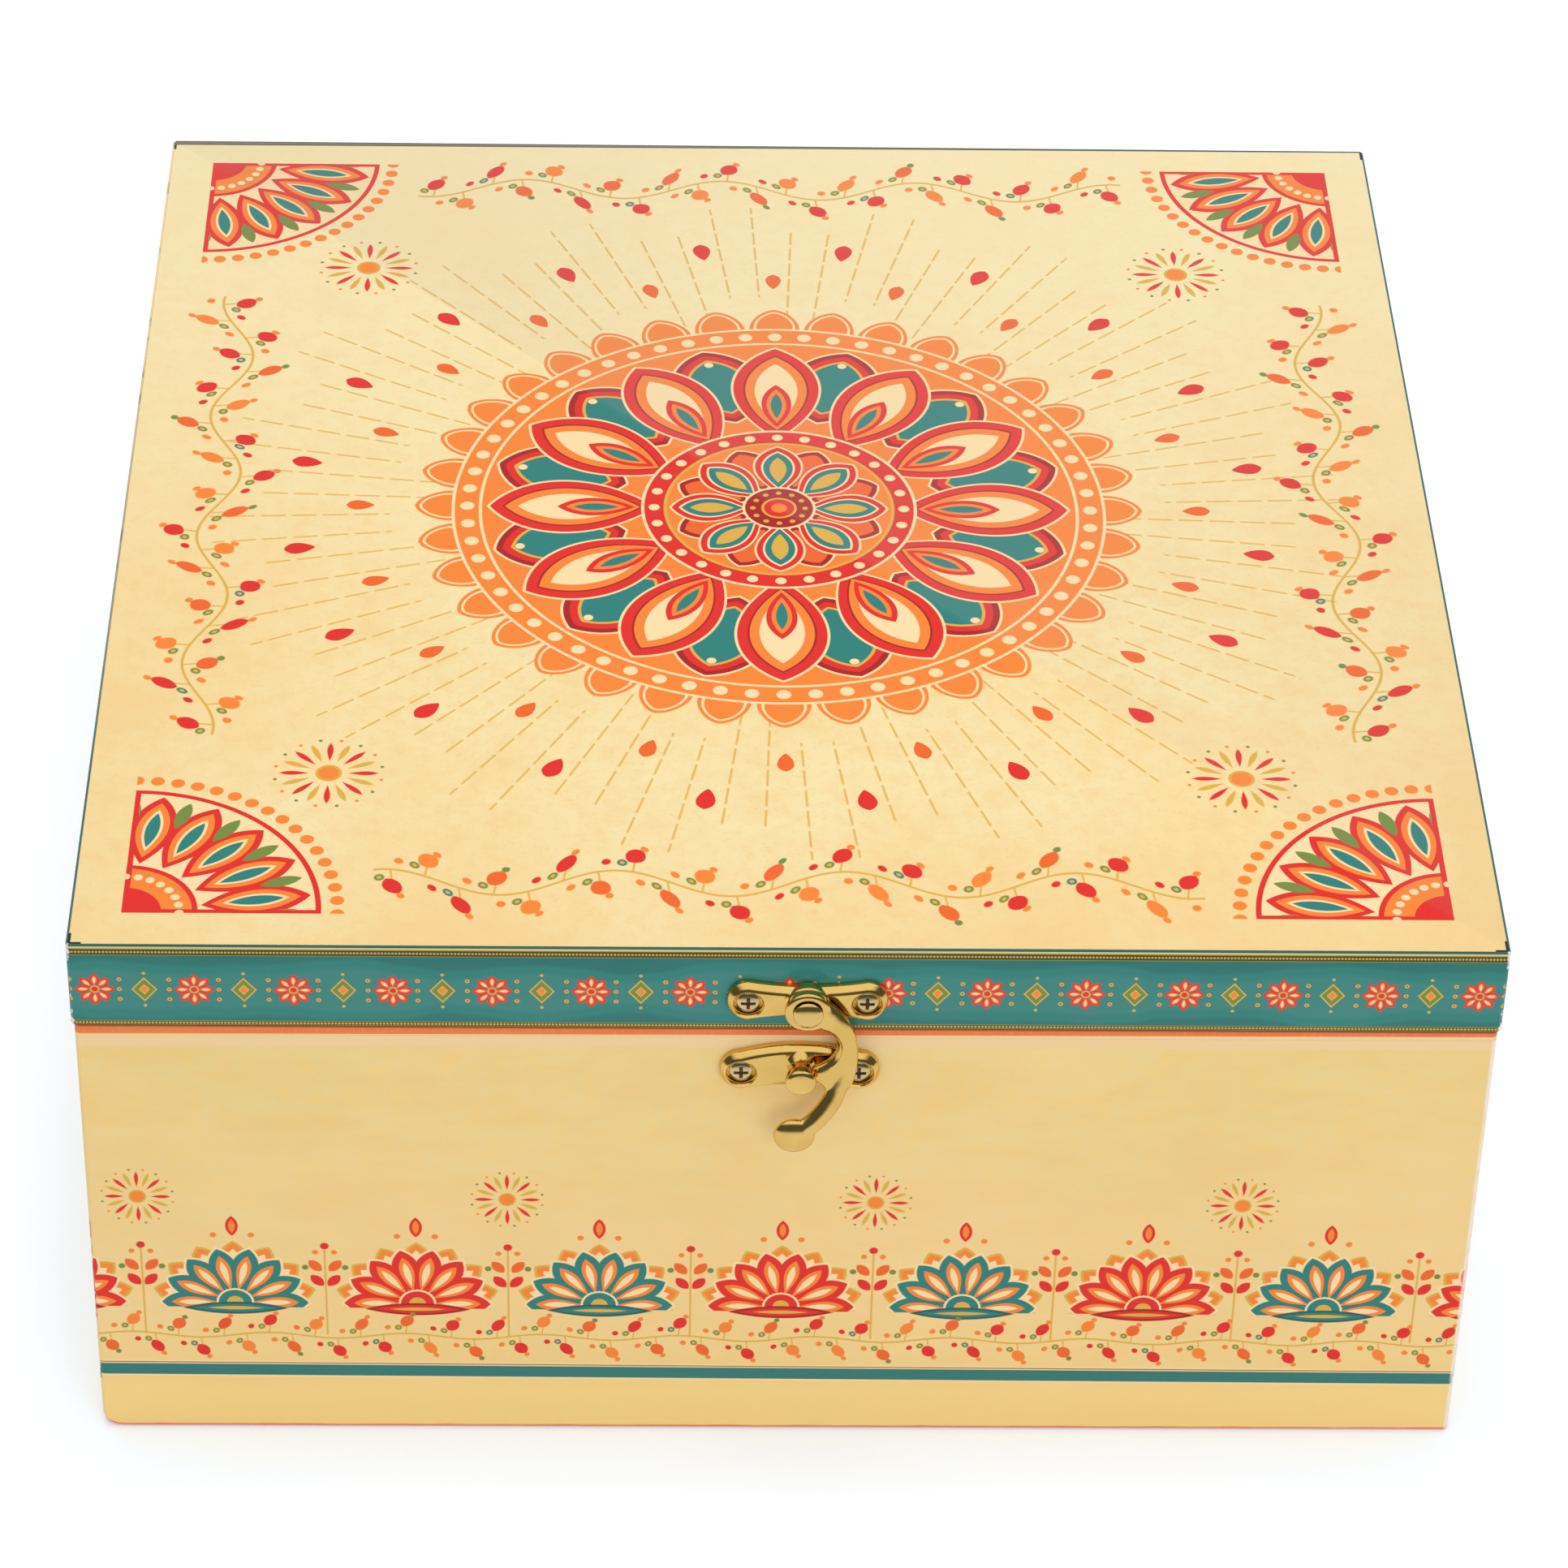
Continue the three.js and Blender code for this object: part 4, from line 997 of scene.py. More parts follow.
def make_linings(paints):
    rim = BASE_HIGH.z
    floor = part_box("divider_along")[0][2]
    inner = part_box("base_front_wall")[1][1] + PAPER - BASE_LOW.y
    lining = [(-inner + PAPER, floor - PAPER), (-inner + PAPER, rim - PAPER), (-PAPER, rim - PAPER)]
    lining += [(-PAPER, PRINT_TOP), (0.0, PRINT_TOP)]
    lining += arc((-RIM_CURL, rim - RIM_CURL), RIM_CURL, 0, 90)
    lining += arc((RIM_CURL - inner, rim - RIM_CURL), RIM_CURL, 90, 180)
    lining += [(-inner, floor)]
    caps = [(0, False), (len(lining) - 1, True)]
    mesh = swept("base lining", BASE_MIDDLE, BASE_HALF, BOX_CORNER, lining, caps)
    add_piece("base_lining", mesh, paints["lining"], "base")

    low, high = box_of("lid_lining")
    pan = [(-PAPER, high.z - PAPER), (-PAPER, low.z), (0.0, low.z), (0.0, high.z)]
    caps = [(0, False), (len(pan) - 1, True)]
    mesh = swept("lid lining", (low + high) / 2, (high - low) / 2, LEAST_CORNER, pan, caps)
    add_piece("lid_lining", mesh, paints["lining"], "lid")


def eased_block(name, low, high, ease):
    """A board with its edges taken off."""
    shape = bmesh.new()
    bmesh.ops.create_cube(shape, size=1.0)
    place = Matrix.Translation((low + high) / 2) @ Matrix.Diagonal((*(high - low), 1.0))
    bmesh.ops.transform(shape, matrix=place, verts=shape.verts)
    bmesh.ops.bevel(shape, geom=shape.edges[:], offset=ease, segments=2, profile=0.5, affect="EDGES")
    mesh = bpy.data.meshes.new(name)
    shape.to_mesh(mesh)
    shape.free()
    soften(mesh, BOARD_CREASE)
    return mesh


BOARDS = {
    "base": ["front_wall", "back_wall", "left_wall", "right_wall", "bottom_panel"],
    "lid": ["panel", "front_rail", "back_rail", "left_rail", "right_rail"],
}
BOARD_EASE = 0.4 * MM


def make_boards(paints):
    for body, boards in BOARDS.items():
        for board in boards:
            node = f"{body}_{board}"
            mesh = eased_block(node, *box_of(node), BOARD_EASE)
            if body == "base":
                knock_corner(mesh)
            add_piece(node, mesh, paints["fibreboard"], body)


DIVIDER_EASE = 0.25 * MM
SLOT_EASE = 0.05 * MM
SLOT_GAP = 0.3 * MM


def make_divider(paints):
    """Two boards halved into each other: a slot from above in one and from below in the other."""
    names = ("divider_across", "divider_along")
    for axis, name in enumerate(names):
        low, high = box_of(name)
        mate_low, mate_high = box_of(names[1 - axis])
        half_way = (low.z + high.z) / 2
        slot_low = low - Vector((MM, MM, MM))
        slot_high = high + Vector((MM, MM, MM))
        slot_low[axis] = mate_low[axis] - SLOT_GAP
        slot_high[axis] = mate_high[axis] + SLOT_GAP
        if name == "divider_across":
            slot_low.z = half_way
        else:
            slot_high.z = half_way + SLOT_GAP
        work = workpiece(name, eased_block(name, low, high, DIVIDER_EASE))
        combine(work, eased_block("slot", slot_low, slot_high, SLOT_EASE), "DIFFERENCE")
        add_piece(name, take_mesh(work, BOARD_CREASE), paints["divider"], "base")


# Latch: worked in millimetres as (right, up, out), then cast in one skin and stood on the box's front
LATCH_SCREW_HALF = 10.35
PLATE_RISE = 2.2
PLATE_LOBE = 3.7
PLATE_TALL = 1.14
PLATE_WAIST = 2.8
KEEPER_CROWN = 5.2
LOBE_STEPS = 28
BRIDGE_STEPS = 30
OUTLINE_STEP = 0.4
CAST_GRAIN = 0.12
CAST_SMOOTHING = 14
HOOK_GRAIN = 0.09
HOOK_SMOOTHING = 64
STUD_UP = 2.3
RIVET_BORE = 1.8
SCREW_HOLE = 1.2
ROUND_SIDES = 64
# Front edges, as (inwards, down from the front)
PLATE_FRONT = [(0.0, 1.25), (0.04, 1.1), (0.14, 0.96), (0.8, 0.26), (1.05, 0.09), (1.4, 0.0)]
HOOK_FRONT = [(0.0, 0.95), (0.05, 0.75), (0.2, 0.55), (0.45, 0.36), (0.8, 0.2), (1.2, 0.08), (1.7, 0.0)]
# Turned profiles, as (radius, out from the face)
SCREW_WELL = [(0.0, 0.9), (2.5, 0.9), (2.5, 1.75), (3.1, 2.6), (0.0, 2.6)]
RIVET_BOSS = [(0.0, 0.4), (3.9, 0.4), (3.9, PLATE_RISE), (3.6, 2.5), (0.0, 2.5)]
STUD = [(0.0, 0.4), (3.3, 0.4), (3.1, 1.6), (2.5, 2.3), (2.0, 2.9), (1.7, 3.4), (1.7, 5.4), (2.35, 5.4),
        (2.75, 5.8), (2.75, 7.0), (2.6, 7.4), (2.2, 7.65), (1.3, 7.8), (0.0, 7.8)]
RIVET_HEAD = 2.65
RIVET_DOME = 0.7
RIVET_BROW = 5.1
DOME_TURNS = (0.35, 0.7, 1.05, 1.35)
RIVET = [(0.0, 0.3), (1.5, 0.3), (1.5, 4.9), (RIVET_HEAD, 4.9), (RIVET_HEAD, RIVET_BROW)]
RIVET += [(RIVET_HEAD * math.cos(t), RIVET_BROW + RIVET_DOME * math.sin(t)) for t in DOME_TURNS]
RIVET += [(0.0, RIVET_BROW + RIVET_DOME)]


def spline(points, steps):
    """A smooth curve through points, as many steps between each two."""
    ends = [points[0], *points, points[-1]]
    curve = []
    for before, start, stop, after in zip(ends, ends[1:], ends[2:], ends[3:]):
        pull = (stop - before) / 2
        leave = (after - start) / 2
        for step in range(steps):
            t = step / steps
            curve.append(start + pull * t + (3 * (stop - start) - 2 * pull - leave) * t ** 2
                         + (2 * (start - stop) + pull + leave) * t ** 3)
    curve.append(points[-1])
    return curve


def plate_outline(crown, waist):
    """Two round lobes about the screws, joined by shallow curves, counter-clockwise from the right lobe."""
    points = []
    for sign, crest in ((1, crown), (-1, waist)):
        for step in range(LOBE_STEPS):
            angle = math.pi * step / LOBE_STEPS - sign * math.pi / 2
            across = sign * LATCH_SCREW_HALF + PLATE_LOBE * math.cos(angle)
            points.append(Vector((across, PLATE_TALL * PLATE_LOBE * math.sin(angle))))
        control = 2 * crest - PLATE_LOBE
        for step in range(BRIDGE_STEPS):
            t = step / BRIDGE_STEPS
            height = (1 - t) ** 2 * PLATE_LOBE + 2 * t * (1 - t) * control + t ** 2 * PLATE_LOBE
            points.append(Vector((sign * LATCH_SCREW_HALF * (1 - 2 * t), sign * PLATE_TALL * height)))
    return points


def counter_clockwise(points):
    turned = sum(a.x * b.y - b.x * a.y for a, b in zip(points, points[1:] + points[:1]))
    return points if turned > 0 else points[::-1]


def evenly(points, gap):
    """The outline with its long edges broken into steps no longer than a gap."""
    broken = []
    for start, stop in zip(points, points[1:] + points[:1]):
        steps = max(1, math.ceil((stop - start).length / gap))
        broken += [start.lerp(stop, step / steps) for step in range(steps)]
    return broken


def inset_outline(points, depth):
    """The outline moved inwards, square to itself; points that would cross it join a neighbour."""
    if not depth:
        return points
    inward = []
    for index, point in enumerate(points):
        run = points[(index + 1) % len(points)] - points[index - 1]
        run.normalize()
        inward.append(point + Vector((-run.y, run.x)) * depth)
    clear = [min((spot - point).length for point in points) > 0.9 * depth for spot in inward]
    offsets = sorted(range(-len(points) // 2, len(points) // 2), key=abs)
    fitted = []
    for index in range(len(points)):
        nearest = next(offset for offset in offsets if clear[(index + offset) % len(points)])
        fitted.append(inward[(index + nearest) % len(points)])
    return fitted


def pillow(name, outline, rise, front, back_ease=0.0):
    """A thick plate over an outline, its front edge shaped by (inwards, down), its back edge taken off."""
    outline = counter_clockwise(evenly(outline, OUTLINE_STEP))
    rows = [(back_ease, 0.0)]
    if back_ease:
        rows += [(0.3 * back_ease, 0.3 * back_ease), (0.0, back_ease)]
    rows += [(inwards, rise - down) for inwards, down in front]
    vertices = []
    for depth, height in rows:
        vertices += [(p.x, p.y, height) for p in inset_outline(outline, depth)]
    count = len(outline)
    last = len(rows) - 1
    faces = [ring_face(0, count, False), *skin(row_pairs(len(rows)), count), ring_face(last, count, True)]
    return make_mesh(name, vertices, faces)


def moved(mesh, x, y=0.0):
    mesh.transform(Matrix.Translation((x, y, 0.0)))
    return mesh


def rod(radius, low, high, sides=48):
    return lathe("rod", [(0.0, low), (radius, low), (radius, high), (0.0, high)], sides)


def cast(name, meshes, grain=CAST_GRAIN, rounds=CAST_SMOOTHING):
    """Fuses closed meshes into one skin with the soft edges of a casting."""
    shape = bmesh.new()
    for mesh in meshes:
        shape.from_mesh(mesh)
    whole = bpy.data.meshes.new(name)
    shape.to_mesh(whole)
    shape.free()
    work = workpiece(name, whole)
    fused = work.modifiers.new("fused", "REMESH")
    fused.mode = "VOXEL"
    fused.voxel_size = grain
    soft = work.modifiers.new("soft", "SMOOTH")
    soft.factor = 0.5
    soft.iterations = rounds
    settle(work)
    return work


def stand_on(face, mesh, x, z):
    """From (right, up, out) in millimetres to the frame, out of a face on the box's front or back."""
    way = -MM if face < 0 else MM
    mesh.transform(Matrix(((-way, 0, 0, x), (0, 0, way, face), (0, MM, 0, z), (0, 0, 0, 1))))
    soften(mesh, CAST_CREASE)
    return mesh


def screw_seats(work):
    for across in (-LATCH_SCREW_HALF, LATCH_SCREW_HALF):
        combine(work, moved(lathe("well", SCREW_WELL, ROUND_SIDES), across), "DIFFERENCE")
        combine(work, moved(rod(SCREW_HOLE, -1.0, 2.0), across), "DIFFERENCE")


def between_screws(node):
    return (node_middle(f"{node}_screw_left") + node_middle(f"{node}_screw_right")) / 2


def add_screws(paints, group, body, face, sizes):
    for end in ("left", "right"):
        node = f"{group}_screw_{end}"
        spot = node_middle(node)
        add_piece(node, stand_on(face, cross_head(*sizes), spot.x, spot.z), paints["screw"], body)


# Screw sizes: head radius, seat above the face, head height, shank radius, depth
LATCH_SCREW = (2.2, 0.9, 1.0, 0.9, 4.4)
HINGE_SCREW = (1.6, 0.8, 0.6, 0.7, 4.0)
# Screw heads, in shares of the head's height and, for the cross's arms, of its radius
BROW_SHARE = 0.45
DOME_SHARE = 0.55
DOME_ANGLES = (25, 45, 65, 80)
CROSS_DEPTH = 0.85
CROSS_ABOVE = 0.2
CROSS_CLEAN = 0.22
CROSS_ARM = 0.68
CROSS_HALF = 0.16
CROSS_FLOOR = 0.55


def make_latch(paints):
    plate_spot = between_screws("latch_plate")
    keeper_spot = between_screws("latch_keeper")

    blank = pillow("plate", plate_outline(PLATE_WAIST, PLATE_WAIST), PLATE_RISE, PLATE_FRONT)
    plate = cast("plate", [blank, lathe("boss", RIVET_BOSS, ROUND_SIDES)])
    screw_seats(plate)
    combine(plate, rod(RIVET_BORE, -1.0, 4.0), "DIFFERENCE")
    mesh = stand_on(LID_LOW.y, take_mesh(plate), plate_spot.x, plate_spot.z)
    add_piece("latch_plate", mesh, paints["latch"], "lid")

    blank = pillow("keeper", plate_outline(KEEPER_CROWN, PLATE_WAIST), PLATE_RISE, PLATE_FRONT)
    keeper = cast("keeper", [blank, moved(lathe("stud", STUD, ROUND_SIDES), 0.0, STUD_UP)])
    screw_seats(keeper)
    mesh = stand_on(BASE_LOW.y, take_mesh(keeper), keeper_spot.x, keeper_spot.z)
    add_piece("latch_keeper", mesh, paints["latch"], "base")

    mesh = stand_on(LID_LOW.y, lathe("rivet", RIVET, 48, BOARD_CREASE), plate_spot.x, plate_spot.z)
    add_piece("latch_rivet", mesh, paints["rivet"], "lid")
    add_screws(paints, "latch_plate", "lid", LID_LOW.y, LATCH_SCREW)
    add_screws(paints, "latch_keeper", "base", BASE_LOW.y, LATCH_SCREW)
    make_hook(paints, plate_spot, keeper_spot.x - plate_spot.x, keeper_spot.z + STUD_UP * MM - plate_spot.z)


def cross_head(head, seat, height, shank, depth):
    """A screw with a low domed head and a cross recess, its seat at a height above the face."""
    crown = seat + height
    brow = seat + BROW_SHARE * height
    profile = [(0.0, -depth), (shank, 2 * shank - depth), (shank, seat), (head, seat), (head, brow)]
    for angle in DOME_ANGLES:
        turn = math.radians(angle)
        profile.append((head * math.cos(turn), seat + height * (BROW_SHARE + DOME_SHARE * math.sin(turn))))
    profile.append((0.0, crown))
    work = workpiece("screw", lathe("screw", profile, 48, BOARD_CREASE))
    floor = crown - CROSS_DEPTH * height
    cutter = recess_cross(CROSS_ARM * head, CROSS_HALF * head, floor, crown + CROSS_ABOVE * height)
    combine(work, cutter, "DIFFERENCE")
    mesh = take_mesh(work)
    marks = mesh.attributes.new("recess", "FLOAT", "FACE")
    for face, mark in zip(mesh.polygons, marks.data):
        sunk = floor - 0.01 < face.center.z < crown - CROSS_CLEAN * height
        mark.value = float(sunk and face.center.xy.length < 0.7 * head)
    return mesh


def recess_cross(arm, half_width, floor, top):
    """A cutter with four arms that narrow towards its floor."""
    outline = []
    for turn in range(4):
        for corner in ((half_width, half_width), (half_width, arm), (-half_width, arm)):
            outline.append(Matrix.Rotation(math.pi / 2 * turn, 2) @ Vector(corner))
    vertices = []
    for share, height in ((CROSS_FLOOR, floor), (1.0, top)):
        vertices += [(p.x * share, p.y * share, height) for p in outline]
    count = len(outline)
    faces = [ring_face(0, count, False), ring_face(1, count, True), *skin([(0, 1)], count)]
    return make_mesh("cross", vertices, faces)


# Hook: points as (right, down) from the rivet or the stud
HOOK_THICK = 1.8
HOOK_CROWN = 0.1
HOOK_STEPS = 10
HUB_RADIUS = 4.1
HUB_EASE = 0.5
BACK_EASE = 0.35
TOOTH_TIP = 2.0
SHOULDER = [(0.0, 0.0), (2.6, -2.5), (6.1, 0.83), (8.2, 4.73)]
BOW = [(9.95, -4.73), (9.85, -0.8), (9.2, 2.4), (7.6, 5.2), (6.2, 6.2)]
UNDERSIDE = [(4.4, 5.0), (3.9, 3.4), (TOOTH_TIP, 1.39)]
THROAT = [(TOOTH_TIP, -0.97), (4.9, -2.78), (6.2, -5.28)]
ARMPIT = [(4.9, 6.26), (3.4, 4.59), (0.0, 3.48)]
# Tail stations from the stud: right, down, half width and lift from the blade's middle
TAIL = [(7.6, -2.2, 0.9, -0.5), (7.0, 1.9, 1.5, 0.1), (5.6, 5.8, 1.9, 0.8), (3.3, 9.2, 1.95, 1.5),
        (0.6, 11.8, 2.1, 2.0), (-0.9, 12.9, 2.3, 2.1)]
TAIL_STEPS = 8
TAIL_SIDES = 24
TAIL_ROUND = 1.3
TAB_RADIUS = 3.7
TAB_HALF = 1.5


def make_hook(paints, rivet_spot, stud_across, stud_rise):
    """A bowed blade hung from a hub, with a tooth behind the stud, a raised tail and a finger tab."""
    stud = Vector((stud_across / MM, stud_rise / MM))

    def from_rivet(points):
        return [Vector((across, -drop)) for across, drop in points]

    def from_stud(points):
        return [stud + Vector((across, -drop)) for across, drop in points]

    outline = spline(from_rivet(SHOULDER) + from_stud(BOW), HOOK_STEPS)
    outline += spline(from_stud(UNDERSIDE), HOOK_STEPS)
    outline += spline(from_stud(THROAT) + from_rivet(ARMPIT), HOOK_STEPS)
    blade = pillow("blade", outline, HOOK_THICK + HOOK_CROWN, HOOK_FRONT, BACK_EASE)
    hub = [(0.0, 0.0)] + arc((HUB_RADIUS - HUB_EASE, HUB_EASE), HUB_EASE, -90, 0, 6)
    hub += arc((HUB_RADIUS - HUB_EASE, HOOK_THICK - HUB_EASE), HUB_EASE, 0, 90, 6) + [(0.0, HOOK_THICK)]
    tail = hook_tail(from_stud([station[:2] for station in TAIL]))
    work = cast("hook", [blade, lathe("hub", hub, ROUND_SIDES), *tail], HOOK_GRAIN, HOOK_SMOOTHING)
    combine(work, rod(RIVET_BORE, -2.0, 4.0), "DIFFERENCE")
    back = -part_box("latch_hook")[1][1] + LID_LOW.y
    mesh = stand_on(LID_LOW.y - back, take_mesh(work), rivet_spot.x, rivet_spot.z)
    add_piece("latch_hook", mesh, paints["latch"], "hook")


def hook_tail(route):
    """An oval rib that rises from the blade's front and ends in a round finger tab."""
    stations = [Vector((p.x, p.y, HOOK_THICK / 2 + lift)) for p, (_, _, _, lift) in zip(route, TAIL)]
    spine = spline(stations, TAIL_STEPS)
    halves = [v.x for v in spline([Vector((half, 0.0)) for _, _, half, _ in TAIL], TAIL_STEPS)]
    vertices = []
    for index, (centre, half) in enumerate(zip(spine, halves)):
        run = spine[min(index + 1, len(spine) - 1)] - spine[max(index - 1, 0)]
        side = Vector((run.y, -run.x, 0.0)).normalized()
        for step in range(TAIL_SIDES):
            angle = TURN * step / TAIL_SIDES
            lift = Vector((0, 0, TAIL_ROUND * math.sin(angle)))
            vertices.append(centre + side * half * math.cos(angle) + lift)
    faces = skin(row_pairs(len(spine)), TAIL_SIDES)
    faces += [ring_face(0, TAIL_SIDES, False), ring_face(len(spine) - 1, TAIL_SIDES, True)]
    rib = make_mesh("tail", vertices, faces)
    shape = bmesh.new()
    shape.from_mesh(rib)
    bmesh.ops.recalc_face_normals(shape, faces=shape.faces)
    shape.to_mesh(rib)
    shape.free()
    tab = lathe("tab", arc((0.0, 0.0), TAB_RADIUS, -90, 90, 20), 48)
    flatten = Matrix.Diagonal((1.0, 1.0, TAB_HALF / TAB_RADIUS, 1.0))
    tab.transform(Matrix.Translation(stations[-1]) @ flatten)
    return [rib, tab]


# Butt hinges at the back, worked about the pin
LEAF_THICK = 0.8 * MM
LEAF_EASE = 0.15 * MM
TAB_EASE = 0.05 * MM
KNUCKLE_GAP = 0.15 * MM
LEAF_GAP = 0.3
PIN_BORE = 1.0
PIN_SHANK = 0.75
PIN_EASE = 0.12
PIN_HEAD = 0.3
HINGE_HOLE = 1.0


def across_at(place):
    """Millimetres about Z to the frame, laid along X through a place."""
    return Matrix.Translation(place) @ Matrix.Rotation(math.pi / 2, 4, "Y") @ Matrix.Scale(MM, 4)


def make_hinges(paints):
    for side in ("left", "right"):
        pin_node = f"hinge_{side}_pin"
        pin_low, pin_high = box_of(pin_node)
        pin = (pin_low + pin_high) / 2
        knuckle = (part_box(f"hinge_{side}_lid_leaf")[1][1] - pin.y) / MM
        for body, way in (("base", -1), ("lid", 1)):
            node = f"hinge_{side}_{body}_leaf"
            add_piece(node, hinge_leaf(node, pin, knuckle, way), paints["hinge"], body)
            add_screws(paints, f"hinge_{side}_{body}", body, LID_HIGH.y, HINGE_SCREW)
        half = (pin_high.x - pin_low.x) / 2 / MM
        shank = half - PIN_HEAD
        head = (pin_high.z - pin_low.z) / 2 / MM
        profile = [(0.0, -half), (head - PIN_EASE, -half), (head, -half + PIN_EASE), (head, -shank)]
        profile.append((PIN_SHANK, -shank))
        profile += [(radius, -height) for radius, height in reversed(profile)]
        mesh = lathe("pin", profile, 32, BOARD_CREASE)
        mesh.transform(across_at(pin))
        add_piece(pin_node, mesh, paints["screw"], "base")


def hinge_leaf(node, pin, knuckle, way):
    """A leaf with eased corners and two screw holes, rolled into knuckles round the pin."""
    low, high = box_of(node)
    half = (high.x - low.x) / 2
    front = LID_HIGH.y
    back = LID_HIGH.y + LEAF_THICK
    start = pin.z + way * (knuckle + LEAF_GAP) * MM
    foot, head = sorted((start, high.z if way > 0 else low.z))
    corners = Vector((pin.x - half, front, foot)), Vector((pin.x + half, back, head))
    work = workpiece(node, eased_block("leaf", *corners, LEAF_EASE))
    spans = [(-1, -1 / 3), (1 / 3, 1)] if way < 0 else [(-1 / 3, 1 / 3)]
    foot, head = sorted((pin.z, start + way * LEAF_GAP * MM))
    for start_share, stop_share in spans:
        left = pin.x + start_share * half + (KNUCKLE_GAP if start_share > -1 else 0.0)
        right = pin.x + stop_share * half - (KNUCKLE_GAP if stop_share < 1 else 0.0)
        tab = eased_block("tab", Vector((left, front, foot)), Vector((right, back, head)), TAB_EASE)
        combine(work, tab, "UNION")
        barrel = rod(knuckle, 0.0, right / MM - left / MM, 40)
        barrel.transform(across_at((left, pin.y, pin.z)))
        combine(work, barrel, "UNION")
    bore = rod(PIN_BORE, -20.0, 20.0, 32)
    bore.transform(across_at(pin))
    combine(work, bore, "DIFFERENCE")
    for end in ("left", "right"):
        spot = node_middle(node.replace("leaf", f"screw_{end}"))
        combine(work, stand_on(front, rod(HINGE_HOLE, -2.0, 2.0, 24), spot.x, spot.z), "DIFFERENCE")
    return take_mesh(work)


# Jars: blown glass with a rounded heel and shoulder, and a pressed tin cap with a milled skirt
JAR_SIDES = 96
JAR_WALL = 2.3 * MM
JAR_HEEL = 4.0 * MM
JAR_SHOULDER = 9.5 * MM
JAR_FLOOR = 4.5 * MM
JAR_PUNT = 1.5 * MM
JAR_NECK = 14.0 * MM
SHOULDER_TURN = 84
CAP_TIN = 0.6 * MM
CAP_CURL = 0.6 * MM
CAP_RIBS = 90
RIB_DEPTH = 0.18 * MM
PANEL_INSET = 5.0 * MM
PANEL_DEPTH = 0.42 * MM
PANEL_STEP = 0.14 * MM
LINER_GAP = 0.1 * MM
LINER_EASE = 0.2 * MM


def make_jars(paints):
    for number in (1, 2, 3, 4):
        body = f"jar_{number}_body"
        cap = f"jar_{number}_cap"
        liner = f"jar_{number}_cap_liner"
        low, high = box_of(body)
        place = Vector(((low.x + high.x) / 2, (low.y + high.y) / 2, 0.0))
        mesh = jar_body((high.x - low.x) / 2, high.z - low.z)
        add_piece(body, stood(mesh, place, low.z), paints["glass"], "base")
        low, high = box_of(cap)
        mesh = jar_cap((high.x - low.x) / 2, high.z - low.z)
        add_piece(cap, stood(mesh, place, low.z), paints["cap"], cap)
        low, high = box_of(liner)
        mesh = cap_liner((high.x - low.x) / 2, low.z + LINER_GAP, high.z)
        add_piece(liner, stood(mesh, place, 0.0), paints["liner"], cap)


def stood(mesh, place, height):
    mesh.transform(Matrix.Translation((place.x, place.y, height)))
    return mesh


def jar_body(radius, height):
    neck = radius - JAR_SHOULDER
    neck_foot = height - JAR_NECK
    lip = JAR_WALL / 2
    inner = radius - JAR_WALL
    profile = [(0.0, JAR_PUNT), (radius - 3 * JAR_HEEL, JAR_PUNT), (radius - 2.2 * JAR_HEEL, 0.2 * MM),
               (radius - 1.8 * JAR_HEEL, 0.0)]
    profile += arc((radius - JAR_HEEL, JAR_HEEL), JAR_HEEL, -90, 0, 8)
    profile += arc((neck, neck_foot - JAR_SHOULDER), JAR_SHOULDER, 0, SHOULDER_TURN, 10)
    profile += [(neck, neck_foot + 0.6 * MM)]
    profile += arc((neck - lip, height - lip), lip, 0, 180, 8)
    profile += [(neck - JAR_WALL, neck_foot - JAR_WALL)]
    inner_foot = neck_foot - JAR_SHOULDER - JAR_WALL
    profile += arc((inner - JAR_SHOULDER, inner_foot), JAR_SHOULDER, SHOULDER_TURN, 0, 10)
    profile += arc((inner - JAR_HEEL, JAR_FLOOR + JAR_HEEL), JAR_HEEL, 0, -90, 8)
    profile += [(0.0, JAR_FLOOR)]
    return lathe("jar body", profile, JAR_SIDES)


def jar_cap(reach, height):
    outer = reach - CAP_CURL
    inner = outer - CAP_TIN
    brow = 2 * CAP_CURL
    profile = [(0.0, height - CAP_TIN), (inner, height - CAP_TIN), (inner, 0.0)]
    profile += arc((outer, CAP_CURL), CAP_CURL, -90, 90, 6)
    profile.append((outer, 2.2 * CAP_CURL))
    milled = (len(profile), len(profile) + 1)
    profile += [(outer, 3.5 * CAP_CURL), (outer, height - 3.0 * CAP_CURL), (outer, height - 2.2 * CAP_CURL)]
    profile += arc((outer - brow, height - brow), brow, 0, 90, 6)
    panel = outer - PANEL_INSET
    sunk = height - PANEL_DEPTH
    profile += [(panel + 0.6 * MM, height), (panel + 0.3 * MM, height - PANEL_STEP), (panel, sunk)]
    profile += [(panel - 1.0 * MM, sunk), (0.0, sunk)]

    def ripple(row, angle):
        return RIB_DEPTH * (math.cos(CAP_RIBS * angle) - 1) if row in milled else 0.0

    return lathe("jar cap", profile, 4 * CAP_RIBS, CAST_CREASE, ripple)


def cap_liner(radius, low, high):
    rim = radius - LINER_EASE
    profile = [(0.0, low), (rim, low), (radius, low + LINER_EASE), (radius, high - LINER_EASE), (rim, high)]
    return lathe("cap liner", [*profile, (0.0, high)], JAR_SIDES)


# Camera, floor and studio light
CAMERA_PLACE = Vector((-25.3, -883.0, 730.8)) * MM
CAMERA_AZIMUTH = math.radians(-1.79)
CAMERA_DROP = math.radians(37.69)
CAMERA_ROLL = math.radians(1.462)
CAMERA_LENS = 129.0
SENSOR = 36.0
CLIP_START = 0.01


